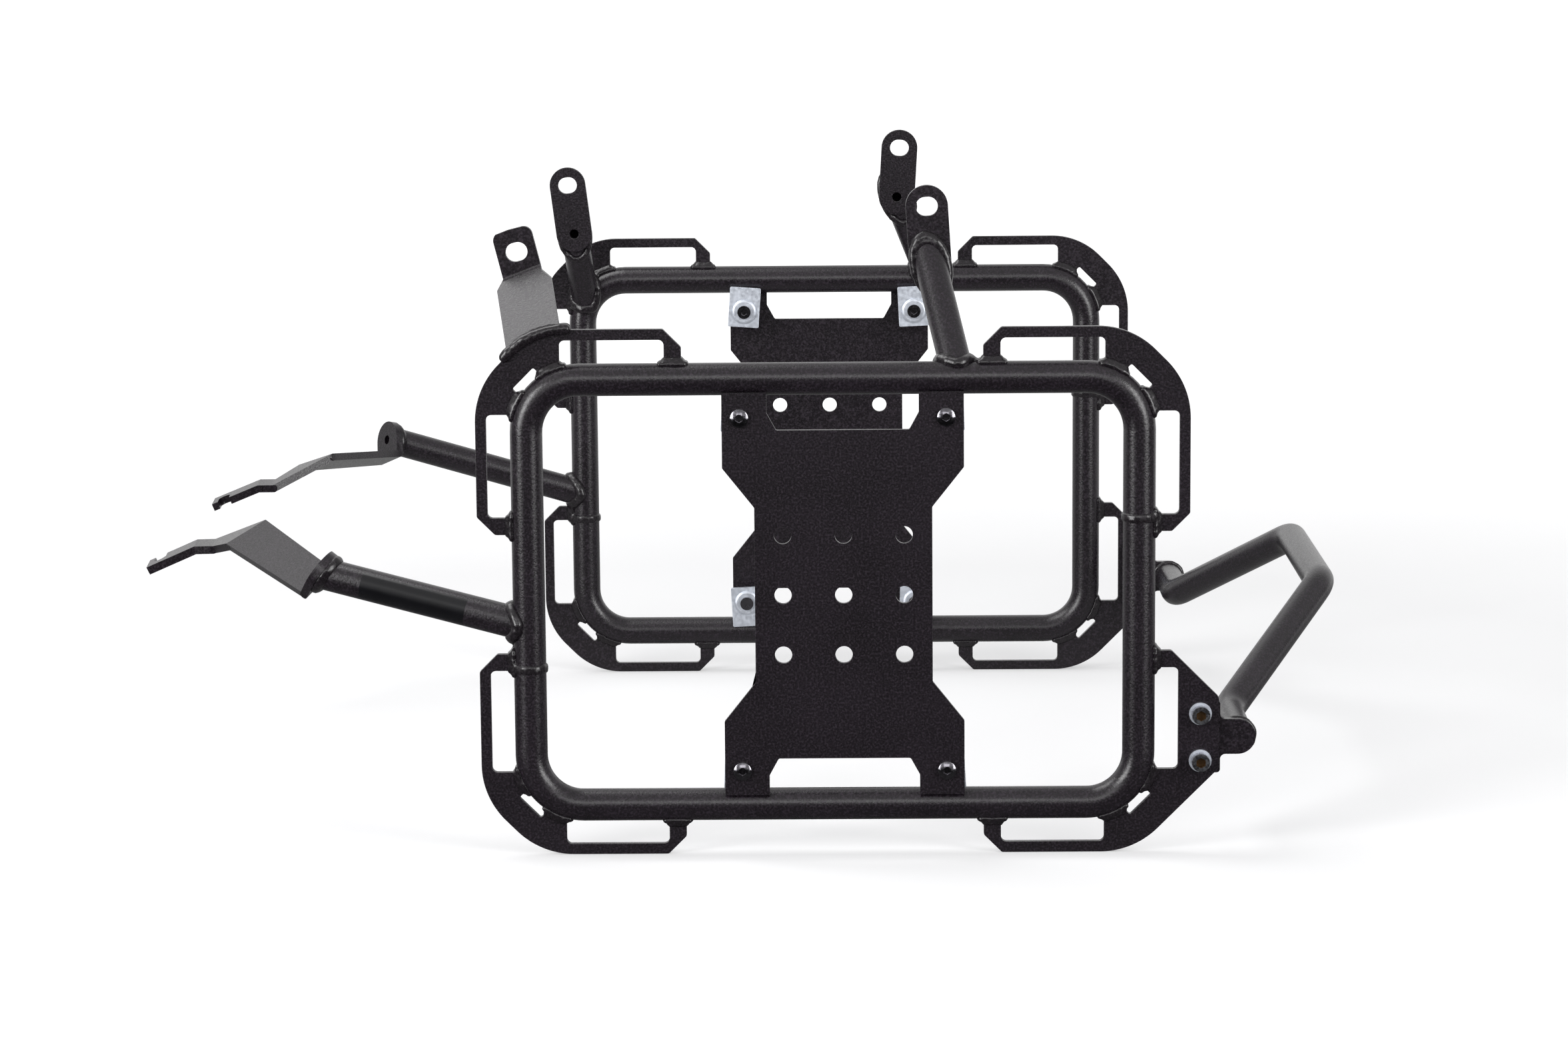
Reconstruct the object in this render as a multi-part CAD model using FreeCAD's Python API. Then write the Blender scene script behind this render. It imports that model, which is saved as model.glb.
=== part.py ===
import FreeCAD, Part
import math
import os

# Motorcycle side pannier racks: a left and a right rack of bent 18 mm tube with laser-cut
# corner plates, joined behind the wheel by one bent cross tube.
# Rack frame used by every function: X to the rear of the motorcycle, Y inward from the
# middle plane of the rack, Z up. X = 0 is the middle of the loop and Z = 0 the centreline
# of its bottom tube. The left rack is built in this frame, and the right one is mirrored.

V = FreeCAD.Vector
X_AXIS = V(1, 0, 0)
Y_AXIS = V(0, 1, 0)
Z_AXIS = V(0, 0, 1)

# Tube stock
TUBE_DIAMETER = 18.0
TUBE_WALL = 2.0
BEND_RADIUS = 29.0
VENT_DIAMETER = 6.0
END_WALL = 3.0

# Rack loop, measured on the tube centreline
LOOP_LENGTH = 338.0
LOOP_HEIGHT = 239.0
RACK_SPACING = 534.0
SEAM_OFFSET = 78.0

# Corner plates with strap slots
CORNER_THICKNESS = 4.0
SLOT_GAP = 13.0
STRIP_WIDTH = 6.0
SLOT_LENGTH = 57.5
SLOT_START = 19.0
SLOT_RADIUS = 3.0
FOOT_LENGTH = 9.5
END_CHAMFER = 10.0
CORNER_CUT = 32.5
CORNER_ROUND = 45.0
WINDOW_LENGTH = 16.5
WINDOW_OFFSET = 1.7
WINDOW_ROUND = 1.0
STRIP_ROUND = 2.0

# Bottom rear corner plate, which carries the cross tube
PAD_REACH = 44.5
PAD_LOWER_END = 19.0
PAD_ROUND = 3.0

# Mounting tabs and brackets
TAB_THICKNESS = 4.0
TAB_WIDTH = 23.6
TAB_HOLE_PITCH = 32.4
SLOT_HOLE_WIDTH = 10.6
SLOT_HOLE_LENGTH = 12.3
FRONT_HOLE_AHEAD = 6.3
FRONT_HOLE_ABOVE = 67.2
FRONT_TAB_INSET = 41.5
REAR_TAB_INSET = 45.0
REAR_HOLE_ABOVE = 90.6
LEFT_REAR_HOLE_X = 53.1
RIGHT_REAR_HOLE_X = 43.7
LEFT_REAR_TILT = -3.5
RIGHT_REAR_TILT = 3.4
RIGHT_FRONT_TILT = -7.0
LEFT_REAR_BASE_X = 69.5
RIGHT_REAR_BASE_X = 64.0
RIGHT_FRONT_BASE_ANGLE = 25.0

# Left upper front bracket, a bent plate on the rim of the corner plate
BRACKET_TILT = -14.0
BRACKET_FOLD_TURN = -7.0
BRACKET_BASE_WIDTH = 31.5
BRACKET_TAB_WIDTH = 22.4
BRACKET_TAB_HEIGHT = 26.0
BRACKET_TOP = 13.0
BRACKET_SHOULDER = 5.0
BRACKET_SLOPE = 40.0
BRACKET_BEND = 3.0
BRACKET_ROUND = 5.0
BRACKET_SMALL_ROUND = 1.0
BRACKET_OVERRUN = 16.0

# Lower front arms and the bent footpeg straps. Each point of a strap is given by its
# distance ahead of the loop, its inset from the loop and its height.
LEFT_ARM_BASE = 101.5
LEFT_TIP_AHEAD = 116.0
LEFT_TIP_INSET = 25.0
LEFT_TIP_HEIGHT = 127.4
LEFT_FOLD_AHEAD = 171.0
LEFT_FOLD_INSET = 113.0
LEFT_FOLD_HEIGHT = 135.5
LEFT_ROOT_AHEAD = 193.5
LEFT_ROOT_INSET = 134.0
LEFT_ROOT_HEIGHT = 125.5
LEFT_STEP_AHEAD = 204.5
LEFT_STEP_INSET = 137.0
LEFT_STEP_HEIGHT = 124.8
LEFT_END_AHEAD = 233.0
LEFT_END_INSET = 141.0
LEFT_END_HEIGHT = 112.0
RIGHT_ARM_BASE = 94.0
RIGHT_TIP_AHEAD = 127.1
RIGHT_TIP_INSET = 25.0
RIGHT_TIP_HEIGHT = 134.9
RIGHT_FOLD_AHEAD = 167.7
RIGHT_FOLD_INSET = 112.6
RIGHT_FOLD_HEIGHT = 133.1
RIGHT_ROOT_AHEAD = 192.5
RIGHT_ROOT_INSET = 134.0
RIGHT_ROOT_HEIGHT = 121.2
RIGHT_STEP_AHEAD = 202.0
RIGHT_STEP_INSET = 137.0
RIGHT_STEP_HEIGHT = 121.6
RIGHT_END_AHEAD = 230.8
RIGHT_END_INSET = 141.0
RIGHT_END_HEIGHT = 110.2
LUG_NORMAL = {"left": V(-0.78, 0.16, 0.60), "right": V(-0.80, 0.57, 0.20)}
HEEL_DIRECTION = {"left": V(0.52, 0.70, 0.49), "right": V(0.60, 0.73, 0.33)}
FOLD_DIRECTION = {"left": V(0.80, 0.34, 0.49), "right": V(0.86, 0.41, 0.32)}
FOLD_WIDTH = 27.0
TONGUE_WIDTH = 18.5
STRAP_WIDTH = 24.8
STRAP_THICKNESS = 4.7
STRAP_DROP = 12.0
HOOK_WIDTH = 7.8
HOOK_DEPTH = 11.0
HOOK_INSET = 4.0

# Accessory plate and its clamps
PLATE_THICKNESS = 3.0
PLATE_LAP = 2.3
PLATE_HALF_WIDTH = 66.5
PLATE_WAIST = 49.0
FLARE_START_INSET = 70.5
FLARE_END_INSET = 48.5
NOTCH_HALF_WIDTH = 41.8
NOTCH_FLOOR_HALF = 36.6
NOTCH_SHOULDER_INSET = 18.0
NOTCH_FLOOR_INSET = 27.5
PLATE_ROUND = 1.5
LEFT_PLATE_X = 5.6
RIGHT_PLATE_X = -3.5
GRID_PITCH = 33.5
GRID_COUNT = 3
GRID_HOLE = 9.6
SCREW_X = 56.8
SCREW_INSET = 20.6
SCREW_DIAMETER = 6.0
HOLE_CLEARANCE = 0.5
BUTTON_DIAMETER = 10.2
BUTTON_HEIGHT = 3.3
BUTTON_SOCKET = 4.0
CLAMP_WIDTH = 20.6
CLAMP_REACH = 16.2
CLAMP_TAIL = 10.5
CLAMP_THICKNESS = 3.0
CLAMP_ROUND = 1.0
CLAMP_TURN = {"left": (3.0, -2.0, 2.0, -3.0), "right": (4.0, -2.5, -3.0, 2.0)}
WASHER_DIAMETER = 16.4
WASHER_CROWN = 13.0
WASHER_HEIGHT = 1.8
WASHER_RIM = 0.8
SLEEVE_DIAMETER = 8.0
SLEEVE_HEAD = 8.8
SLEEVE_HEAD_HEIGHT = 2.6
SLEEVE_GAP = 1.0
SOCKET_DEPTH = 2.0
SCREW_SETBACK = 1.0

# Rear cross tube, its end lugs and bolts
LUG_REACH = 55.5
LUG_Z = 36.3
LUG_RADIUS = 10.0
LUG_THICKNESS = 5.0
LUG_BODY_HALF = 20.5
LUG_BODY_START = 24.5
LUG_OVERHANG = 1.2
LUG_FILLET = 3.0
LUG_ROUND = 2.0
CROSS_STUB = 72.0
CROSS_REACH = 120.0
CROSS_INSET = 182.0
CROSS_Z = 92.0
BOLT_REACH = 34.2
BOLT_Z = 37.0
BOLT_SPACING = 26.6
BOLT_DIAMETER = 6.0
BOLT_HEAD = 10.0
BOLT_HEAD_HEIGHT = 6.0
BOLT_SOCKET = 5.0
BOLT_SOCKET_DEPTH = 3.5
BOLT_TAIL = 1.5
BOLT_WASHER = 12.6
BOLT_WASHER_THICKNESS = 1.6
NUT_FLATS = 10.0
NUT_HEIGHT = 5.0

# Weld beads
BEAD = 2.4
BRACKET_BEAD = 3.4
FOOT_BEAD = 1.8
WEB_BEAD_LENGTH = 7.0
SEAM_BEAD = 0.7
SEAM_BEAD_WIDTH = 4.0
SMALLEST_BEAD = 0.5

TUBE_RADIUS = TUBE_DIAMETER / 2
BORE_RADIUS = TUBE_RADIUS - TUBE_WALL
PLATE_REACH = TUBE_RADIUS + SLOT_GAP + STRIP_WIDTH
SLOT_END = SLOT_START + SLOT_LENGTH
STRIP_END = SLOT_END + FOOT_LENGTH
HALF_LENGTH = LOOP_LENGTH / 2
MIDDLE_Z = LOOP_HEIGHT / 2
FRONT_HOLE_X = -HALF_LENGTH - FRONT_HOLE_AHEAD
FRONT_HOLE_Z = LOOP_HEIGHT + FRONT_HOLE_ABOVE
REAR_HOLE_Z = LOOP_HEIGHT + REAR_HOLE_ABOVE
PLATE_X = {"left": LEFT_PLATE_X, "right": RIGHT_PLATE_X}
SCREW_Z = MIDDLE_Z - SCREW_INSET
LUG_X = HALF_LENGTH + LUG_REACH
LUG_BODY_INNER = HALF_LENGTH + LUG_BODY_START
CROSS_X = HALF_LENGTH + CROSS_REACH
BOLT_X = HALF_LENGTH + BOLT_REACH
FAR = 500.0


def ahead(distance, inset, height):
    """Point in front of the loop."""
    return V(-HALF_LENGTH - distance, inset, height)


ARM_BASE_Z = {"left": LEFT_ARM_BASE, "right": RIGHT_ARM_BASE}
ARM_TIP = {"left": ahead(LEFT_TIP_AHEAD, LEFT_TIP_INSET, LEFT_TIP_HEIGHT),
           "right": ahead(RIGHT_TIP_AHEAD, RIGHT_TIP_INSET, RIGHT_TIP_HEIGHT)}
FOLD_MIDDLE = {"left": ahead(LEFT_FOLD_AHEAD, LEFT_FOLD_INSET, LEFT_FOLD_HEIGHT),
               "right": ahead(RIGHT_FOLD_AHEAD, RIGHT_FOLD_INSET, RIGHT_FOLD_HEIGHT)}
TONGUE_ROOT = {"left": ahead(LEFT_ROOT_AHEAD, LEFT_ROOT_INSET, LEFT_ROOT_HEIGHT),
               "right": ahead(RIGHT_ROOT_AHEAD, RIGHT_ROOT_INSET, RIGHT_ROOT_HEIGHT)}
TONGUE_STEP = {"left": ahead(LEFT_STEP_AHEAD, LEFT_STEP_INSET, LEFT_STEP_HEIGHT),
               "right": ahead(RIGHT_STEP_AHEAD, RIGHT_STEP_INSET, RIGHT_STEP_HEIGHT)}
TONGUE_END = {"left": ahead(LEFT_END_AHEAD, LEFT_END_INSET, LEFT_END_HEIGHT),
              "right": ahead(RIGHT_END_AHEAD, RIGHT_END_INSET, RIGHT_END_HEIGHT)}


def rounded_wire(corners):
    """Closed wire in the XZ plane from (x, z, radius) corners."""
    count = len(corners)
    starts, ends, edges = [], [], []
    for i in range(count):
        before = V(corners[i - 1][0], 0, corners[i - 1][1])
        here = V(corners[i][0], 0, corners[i][1])
        after = V(corners[(i + 1) % count][0], 0, corners[(i + 1) % count][1])
        back = (before - here).normalize()
        on = (after - here).normalize()
        radius = corners[i][2]
        if radius == 0:
            starts.append(here)
            ends.append(here)
            continue
        half = back.getAngle(on) / 2
        reach = radius / math.tan(half)
        starts.append(here + back * reach)
        ends.append(here + on * reach)
        inward = (back + on).normalize()
        middle = here + inward * (radius / math.sin(half) - radius)
        edges.append(Part.Arc(starts[-1], middle, ends[-1]).toShape())
    for i in range(count):
        first, last = ends[i], starts[(i + 1) % count]
        if (last - first).Length > 1e-6:
            edges.append(Part.makeLine(first, last))
    return Part.Wire(Part.__sortEdges__(edges))


def plate(wire, low, high):
    """Flat plate from an XZ outline, between two Y values."""
    face = Part.Face(wire)
    face.translate(V(0, low, 0))
    return face.extrude(V(0, high - low, 0))


def rod_path(points, bend):
    """Wire of straight runs joined by tangent arcs of one bend radius."""
    edges = []
    start = points[0]
    for i in range(1, len(points) - 1):
        here = points[i]
        back = (points[i - 1] - here).normalize()
        on = (points[i + 1] - here).normalize()
        half = back.getAngle(on) / 2
        reach = bend / math.tan(half)
        enter = here + back * reach
        leave = here + on * reach
        inward = (back + on).normalize()
        middle = here + inward * (bend / math.sin(half) - bend)
        edges.append(Part.makeLine(start, enter))
        edges.append(Part.Arc(enter, middle, leave).toShape())
        start = leave
    edges.append(Part.makeLine(start, points[-1]))
    return Part.Wire(edges)


def bent_rod(points, radius):
    """Solid round bar along a bent path."""
    path = rod_path(points, BEND_RADIUS)
    circle = Part.makeCircle(radius, points[0], points[1] - points[0])
    return path.makePipeShell([Part.Wire([circle])], True, True)


def straight_rod(first, last, radius):
    """Solid round bar between two points."""
    return Part.makeCylinder(radius, (last - first).Length, first, last - first)


def beyond(point, normal):
    """Large block that fills the side of a plane that the normal points to."""
    block = Part.makeBox(FAR, FAR, FAR, V(-FAR / 2, -FAR / 2, 0))
    block.Placement = FreeCAD.Placement(point, FreeCAD.Rotation(Z_AXIS, normal))
    return block


def cylinder_y(radius, x, z, low, high):
    """Round bar along Y."""
    return Part.makeCylinder(radius, high - low, V(x, low, z), Y_AXIS)


def hexagon_y(flats, x, z, low, high):
    """Hexagonal bar along Y."""
    reach = flats / math.sqrt(3)
    angles = [math.radians(30 + 60 * i) for i in range(6)]
    corners = [(x + reach * math.cos(a), z + reach * math.sin(a), 0) for a in angles]
    return plate(rounded_wire(corners), low, high)


def half_loop_points(upper):
    """Corner points of one of the two equal halves of the loop."""
    front, rear = -HALF_LENGTH, HALF_LENGTH
    if upper:
        return [V(front, 0, SEAM_OFFSET), V(front, 0, LOOP_HEIGHT),
                V(rear, 0, LOOP_HEIGHT), V(rear, 0, LOOP_HEIGHT - SEAM_OFFSET)]
    return [V(rear, 0, LOOP_HEIGHT - SEAM_OFFSET), V(rear, 0, 0),
            V(front, 0, 0), V(front, 0, SEAM_OFFSET)]


def loop_rods(radius):
    """The two solid halves of the loop at any radius."""
    return [bent_rod(half_loop_points(True), radius), bent_rod(half_loop_points(False), radius)]


LOOP_OUTSIDE = loop_rods(TUBE_RADIUS)
LOOP_BORE = loop_rods(BORE_RADIUS)
FAT_LOOP = loop_rods(TUBE_RADIUS + BEAD)
THICK_LOOP = loop_rods(TUBE_RADIUS + FOOT_BEAD)


def clear_of_loop(shape):
    """Cope a piece to the outside of the loop tube."""
    return shape.cut(LOOP_OUTSIDE[0]).cut(LOOP_OUTSIDE[1])


def at_corner(shape, side_x, side_z):
    """Carry a shape from corner coordinates, outward positive, to a loop corner."""
    if side_x < 0:
        shape = shape.mirror(V(0, 0, 0), X_AXIS)
    if side_z < 0:
        shape = shape.mirror(V(0, 0, 0), Z_AXIS)
    shape.translate(V(side_x * HALF_LENGTH, 0, LOOP_HEIGHT if side_z > 0 else 0))
    return shape


def corner_rim(carries_brace):
    """Outer edge of a corner plate, from one strip end to the other, with corner radii."""
    chamfer_start = PLATE_REACH - END_CHAMFER
    strip = [(-STRIP_END, 0, 0), (-STRIP_END, chamfer_start, STRIP_ROUND),
             (-STRIP_END + END_CHAMFER, PLATE_REACH, STRIP_ROUND)]
    if carries_brace:
        flare = STRIP_END - (PAD_REACH - chamfer_start)
        cut = PAD_REACH - PAD_LOWER_END
        return strip + [(cut - PLATE_REACH, PLATE_REACH, CORNER_ROUND),
                        (PAD_REACH, -PAD_LOWER_END, PAD_ROUND),
                        (PAD_REACH, -flare, PAD_ROUND),
                        (chamfer_start, -STRIP_END, STRIP_ROUND), (0, -STRIP_END, 0)]
    return strip + [(PLATE_REACH - CORNER_CUT, PLATE_REACH, CORNER_ROUND),
                    (PLATE_REACH, PLATE_REACH - CORNER_CUT, CORNER_ROUND),
                    (PLATE_REACH, -STRIP_END + END_CHAMFER, STRIP_ROUND),
                    (chamfer_start, -STRIP_END, STRIP_ROUND), (0, -STRIP_END, 0)]


def corner_blank(carries_brace, low, high):
    """Corner plate before its slots, reaching in to the tube centreline."""
    rim = corner_rim(carries_brace)
    inner = [(0, 0, BEND_RADIUS)]
    return plate(rounded_wire(rim + inner), low, high)


def corner_plate(side_x, side_z, carries_brace=False):
    """Laser-cut corner plate with two strap slots and a window at the bend."""
    half = CORNER_THICKNESS / 2
    body = corner_blank(carries_brace, -half, half)
    slot_outer = TUBE_RADIUS + SLOT_GAP
    slot = [(-SLOT_END, 0, 0), (-SLOT_END, slot_outer, SLOT_RADIUS),
            (-SLOT_START, slot_outer, SLOT_RADIUS), (-SLOT_START, 0, 0)]
    upright_slot = [(z, x, r) for x, z, r in slot]
    body = body.cut(plate(rounded_wire(slot), -half, half))
    body = body.cut(plate(rounded_wire(upright_slot), -half, half))
    depth = TUBE_DIAMETER
    window = plate(rounded_wire([(-WINDOW_LENGTH / 2, -depth, 0),
                                 (-WINDOW_LENGTH / 2, WINDOW_OFFSET, WINDOW_ROUND),
                                 (WINDOW_LENGTH / 2, WINDOW_OFFSET, WINDOW_ROUND),
                                 (WINDOW_LENGTH / 2, -depth, 0)]), -half, half)
    window.rotate(V(0, 0, 0), Y_AXIS, 45)
    body = body.cut(window)
    if carries_brace:
        radius = (BOLT_DIAMETER + HOLE_CLEARANCE) / 2
        for x, z in bolt_places():
            body = body.cut(cylinder_y(radius, x - HALF_LENGTH, -z, -half, half))
    return clear_of_loop(at_corner(body, side_x, side_z))


def slot_hole(x, z, low, high):
    """Mounting hole that is a little longer than it is high."""
    reach = (SLOT_HOLE_LENGTH - SLOT_HOLE_WIDTH) / 2
    radius = SLOT_HOLE_WIDTH / 2
    hole = cylinder_y(radius, x - reach, z, low, high)
    hole = hole.fuse(cylinder_y(radius, x + reach, z, low, high))
    box = Part.makeBox(2 * reach, high - low, SLOT_HOLE_WIDTH, V(x - reach, low, z - radius))
    return hole.fuse(box).removeSplitter()


def round_tab(hole_x, hole_z, tilt, inset):
    """Round-ended tab with a mounting hole at its top and a vent over the tube bore."""
    radius = TAB_WIDTH / 2
    low, high = inset - TAB_THICKNESS, inset
    tab = cylinder_y(radius, 0, 0, low, high)
    tab = tab.fuse(cylinder_y(radius, 0, -TAB_HOLE_PITCH, low, high))
    corner = V(-radius, low, -TAB_HOLE_PITCH)
    tab = tab.fuse(Part.makeBox(TAB_WIDTH, TAB_THICKNESS, TAB_HOLE_PITCH, corner))
    tab = tab.removeSplitter()
    tab = tab.cut(slot_hole(0, 0, low, high))
    tab = tab.cut(cylinder_y(VENT_DIAMETER / 2, 0, -TAB_HOLE_PITCH, low, high))
    tab.rotate(V(0, 0, 0), Y_AXIS, tilt)
    tab.translate(V(hole_x, 0, hole_z))
    return tab


def vent_point(hole_x, hole_z, tilt, inset):
    """Centre of the vent of a tab, on the face that the arm is welded to."""
    angle = math.radians(tilt)
    drop = TAB_HOLE_PITCH
    return V(hole_x - drop * math.sin(angle), inset - TAB_THICKNESS, hole_z - drop * math.cos(angle))


def arm(base, tip, normal):
    """Tube arm from the loop centreline to a plate at its tip, coped to the loop."""
    along = (tip - base).normalize()
    past = tip + along * TUBE_DIAMETER * 2
    outside = straight_rod(base, past, TUBE_RADIUS).cut(beyond(tip, normal))
    bore = straight_rod(base, past, BORE_RADIUS).cut(beyond(tip - normal * END_WALL, normal))
    vent = straight_rod(tip - normal * END_WALL * 2, tip + normal, VENT_DIAMETER / 2)
    return clear_of_loop(outside.cut(bore)).cut(vent)


def bend_point(angle):
    """Point on the centreline of the top front bend, angle up from the forward direction."""
    turn = math.radians(angle)
    centre = V(-HALF_LENGTH + BEND_RADIUS, 0, LOOP_HEIGHT - BEND_RADIUS)
    return centre + V(-math.cos(turn), 0, math.sin(turn)) * BEND_RADIUS


def bracket_blank(thickness):
    """Bent plate of the left upper front bracket, running on past its foot."""
    half = thickness / 2
    knee_y = FRONT_TAB_INSET - TAB_THICKNESS / 2
    knee_z = -BRACKET_TAB_HEIGHT + BRACKET_TOP
    slope = math.radians(BRACKET_SLOPE)
    run = knee_y + BRACKET_OVERRUN
    foot_z = knee_z - run * math.tan(slope)
    offset = half / math.cos(slope)
    shift = half * math.tan((math.pi / 2 - slope) / 2)
    profile = [(-BRACKET_OVERRUN, foot_z + offset, 0), (knee_y - half, knee_z + shift, BRACKET_BEND),
               (knee_y - half, BRACKET_TOP, 0), (knee_y + half, BRACKET_TOP, 0),
               (knee_y + half, knee_z - shift, BRACKET_BEND + thickness),
               (-BRACKET_OVERRUN, foot_z - offset, 0)]
    strip = plate(rounded_wire(profile), -BRACKET_BASE_WIDTH, BRACKET_BASE_WIDTH)
    strip.rotate(V(0, 0, 0), Z_AXIS, 90)
    strip.rotate(V(0, 0, knee_z), Y_AXIS, BRACKET_FOLD_TURN)
    narrow, wide = BRACKET_TAB_WIDTH / 2, BRACKET_BASE_WIDTH / 2
    shoulder = knee_z - BRACKET_SHOULDER
    shape = [(-wide, -FAR, 0), (-wide, shoulder, BRACKET_SMALL_ROUND),
             (-narrow, knee_z, BRACKET_SMALL_ROUND), (-narrow, BRACKET_TOP, BRACKET_ROUND),
             (narrow, BRACKET_TOP, BRACKET_ROUND), (narrow, knee_z, BRACKET_SMALL_ROUND),
             (wide, shoulder, BRACKET_SMALL_ROUND), (wide, -FAR, 0)]
    blank = strip.common(plate(rounded_wire(shape), -FAR, FAR))
    blank.rotate(V(0, 0, 0), Y_AXIS, BRACKET_TILT)
    blank.translate(V(FRONT_HOLE_X, 0, FRONT_HOLE_Z))
    return blank


def upper_front_bracket():
    """Bent plate bracket that stands on the rim of the left top front corner plate."""
    hole = slot_hole(0, 0, 0, FRONT_TAB_INSET * 2)
    hole.rotate(V(0, 0, 0), Y_AXIS, BRACKET_TILT)
    hole.translate(V(FRONT_HOLE_X, 0, FRONT_HOLE_Z))
    bracket = bracket_blank(TAB_THICKNESS).cut(hole)
    return bracket.cut(at_corner(corner_blank(False, -FAR, FAR), -1, 1))


def rim_band(reach):
    """Band along the rim of a corner plate, this far to each side of it and of its faces."""
    half = CORNER_THICKNESS / 2 + reach
    face = Part.Face(rounded_wire(corner_rim(False)))
    wide, narrow = face.makeOffset2D(reach), face.makeOffset2D(-reach)
    band = plate(wide.OuterWire, -half, half).cut(plate(narrow.OuterWire, -half, half))
    return at_corner(band, -1, 1)


def bracket_beads():
    """Weld along the foot of the bent plate bracket."""
    fat = bracket_blank(TAB_THICKNESS + 2 * BRACKET_BEAD)
    return bead(fat, rim_band(BRACKET_BEAD), LOOP_OUTSIDE)


def slab(corners, thickness):
    """Flat plate on four coplanar middle-surface corners."""
    normal = (corners[1] - corners[0]).cross(corners[3] - corners[0]).normalize()
    face = Part.Face(Part.makePolygon(list(corners) + [corners[0]]))
    face.translate(normal * (-thickness / 2))
    return face.extrude(normal * thickness)


def fold_line(middle, direction, width):
    """Two ends of a fold, centred on a point."""
    reach = direction * (width / 2)
    return middle - reach, middle + reach


def strap_axes(side):
    """Directions at the lug of a strap: out of the lug, along its fold and down to the fold."""
    heel = V(HEEL_DIRECTION[side]).normalize()
    normal = LUG_NORMAL[side] - heel * LUG_NORMAL[side].dot(heel)
    normal = normal.normalize()
    down = normal.cross(heel)
    return normal, heel, down if down.z < 0 else -down


def strap_lug(side):
    """Round end of a strap, straight down to its first fold."""
    normal, heel, down = strap_axes(side)
    tip = ARM_TIP[side]
    reach = heel * (STRAP_WIDTH / 2)
    drop = down * STRAP_DROP
    middle = tip + normal * (STRAP_THICKNESS / 2)
    corners = [middle - reach, middle + reach, middle + reach + drop, middle - reach + drop]
    lug = Part.makeCylinder(STRAP_WIDTH / 2, STRAP_THICKNESS, tip, normal)
    return lug.fuse(slab(corners, STRAP_THICKNESS))


def hook_slot(step, end, side_direction):
    """Cutter for the slot that opens to the inner edge of a tongue, near its end."""
    along = (end - step).normalize()
    up = along.cross(side_direction)
    depth = 2 * STRAP_THICKNESS
    mouth = end - along * (HOOK_INSET + HOOK_WIDTH / 2)
    root = mouth + side_direction * (TONGUE_WIDTH / 2 - HOOK_DEPTH + HOOK_WIDTH / 2)
    reach = side_direction * TONGUE_WIDTH
    half = along * (HOOK_WIDTH / 2)
    round_end = Part.makeCylinder(HOOK_WIDTH / 2, 2 * depth, root - up * depth, up)
    return round_end.fuse(slab([root - half, root + half, root + half + reach, root - half + reach],
                               2 * depth))


def footpeg_strap(side):
    """Bent flat bar: a round lug that closes the arm, a wide run and a hooked tongue."""
    normal, heel, down = strap_axes(side)
    tip, fold, root = ARM_TIP[side], FOLD_MIDDLE[side], TONGUE_ROOT[side]
    half = STRAP_THICKNESS / 2
    heel_middle = tip + normal * half + down * STRAP_DROP
    run_normal = heel.cross(fold - heel_middle).normalize()
    across = FOLD_DIRECTION[side] - run_normal * FOLD_DIRECTION[side].dot(run_normal)
    across = across.normalize()
    web_normal = across.cross(root - fold)
    inner = Y_AXIS - web_normal * (web_normal.y / web_normal.dot(web_normal))
    inner = inner.normalize()
    lines = [fold_line(heel_middle, heel, STRAP_WIDTH), fold_line(fold, across, FOLD_WIDTH)]
    for middle in (root, TONGUE_STEP[side], TONGUE_END[side]):
        lines.append(fold_line(middle, inner, TONGUE_WIDTH))
    body = strap_lug(side)
    for first, second in zip(lines, lines[1:]):
        body = body.fuse(slab([first[0], first[1], second[1], second[0]], STRAP_THICKNESS))
    for first, second in lines[:-1]:
        body = body.fuse(straight_rod(first, second, half))
    body = body.cut(hook_slot(TONGUE_STEP[side], TONGUE_END[side], inner))
    vent = straight_rod(tip - normal * half, tip + normal * STRAP_THICKNESS * 2, VENT_DIAMETER / 2)
    return body.cut(vent).removeSplitter()


def screw_places(side):
    """Four plate screws as (x, z, signed direction to the nearest loop tube)."""
    x = PLATE_X[side]
    return [(x - SCREW_X, MIDDLE_Z + SCREW_Z, 1), (x + SCREW_X, MIDDLE_Z + SCREW_Z, 1),
            (x - SCREW_X, MIDDLE_Z - SCREW_Z, -1), (x + SCREW_X, MIDDLE_Z - SCREW_Z, -1)]


def flank(lap):
    """Distance of the tube surface from the middle plane where a plate laps it by this much."""
    return math.sqrt(TUBE_RADIUS ** 2 - (TUBE_RADIUS - lap) ** 2)


PLATE_INNER = -flank(PLATE_LAP)
PLATE_OUTER = PLATE_INNER - PLATE_THICKNESS


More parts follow.
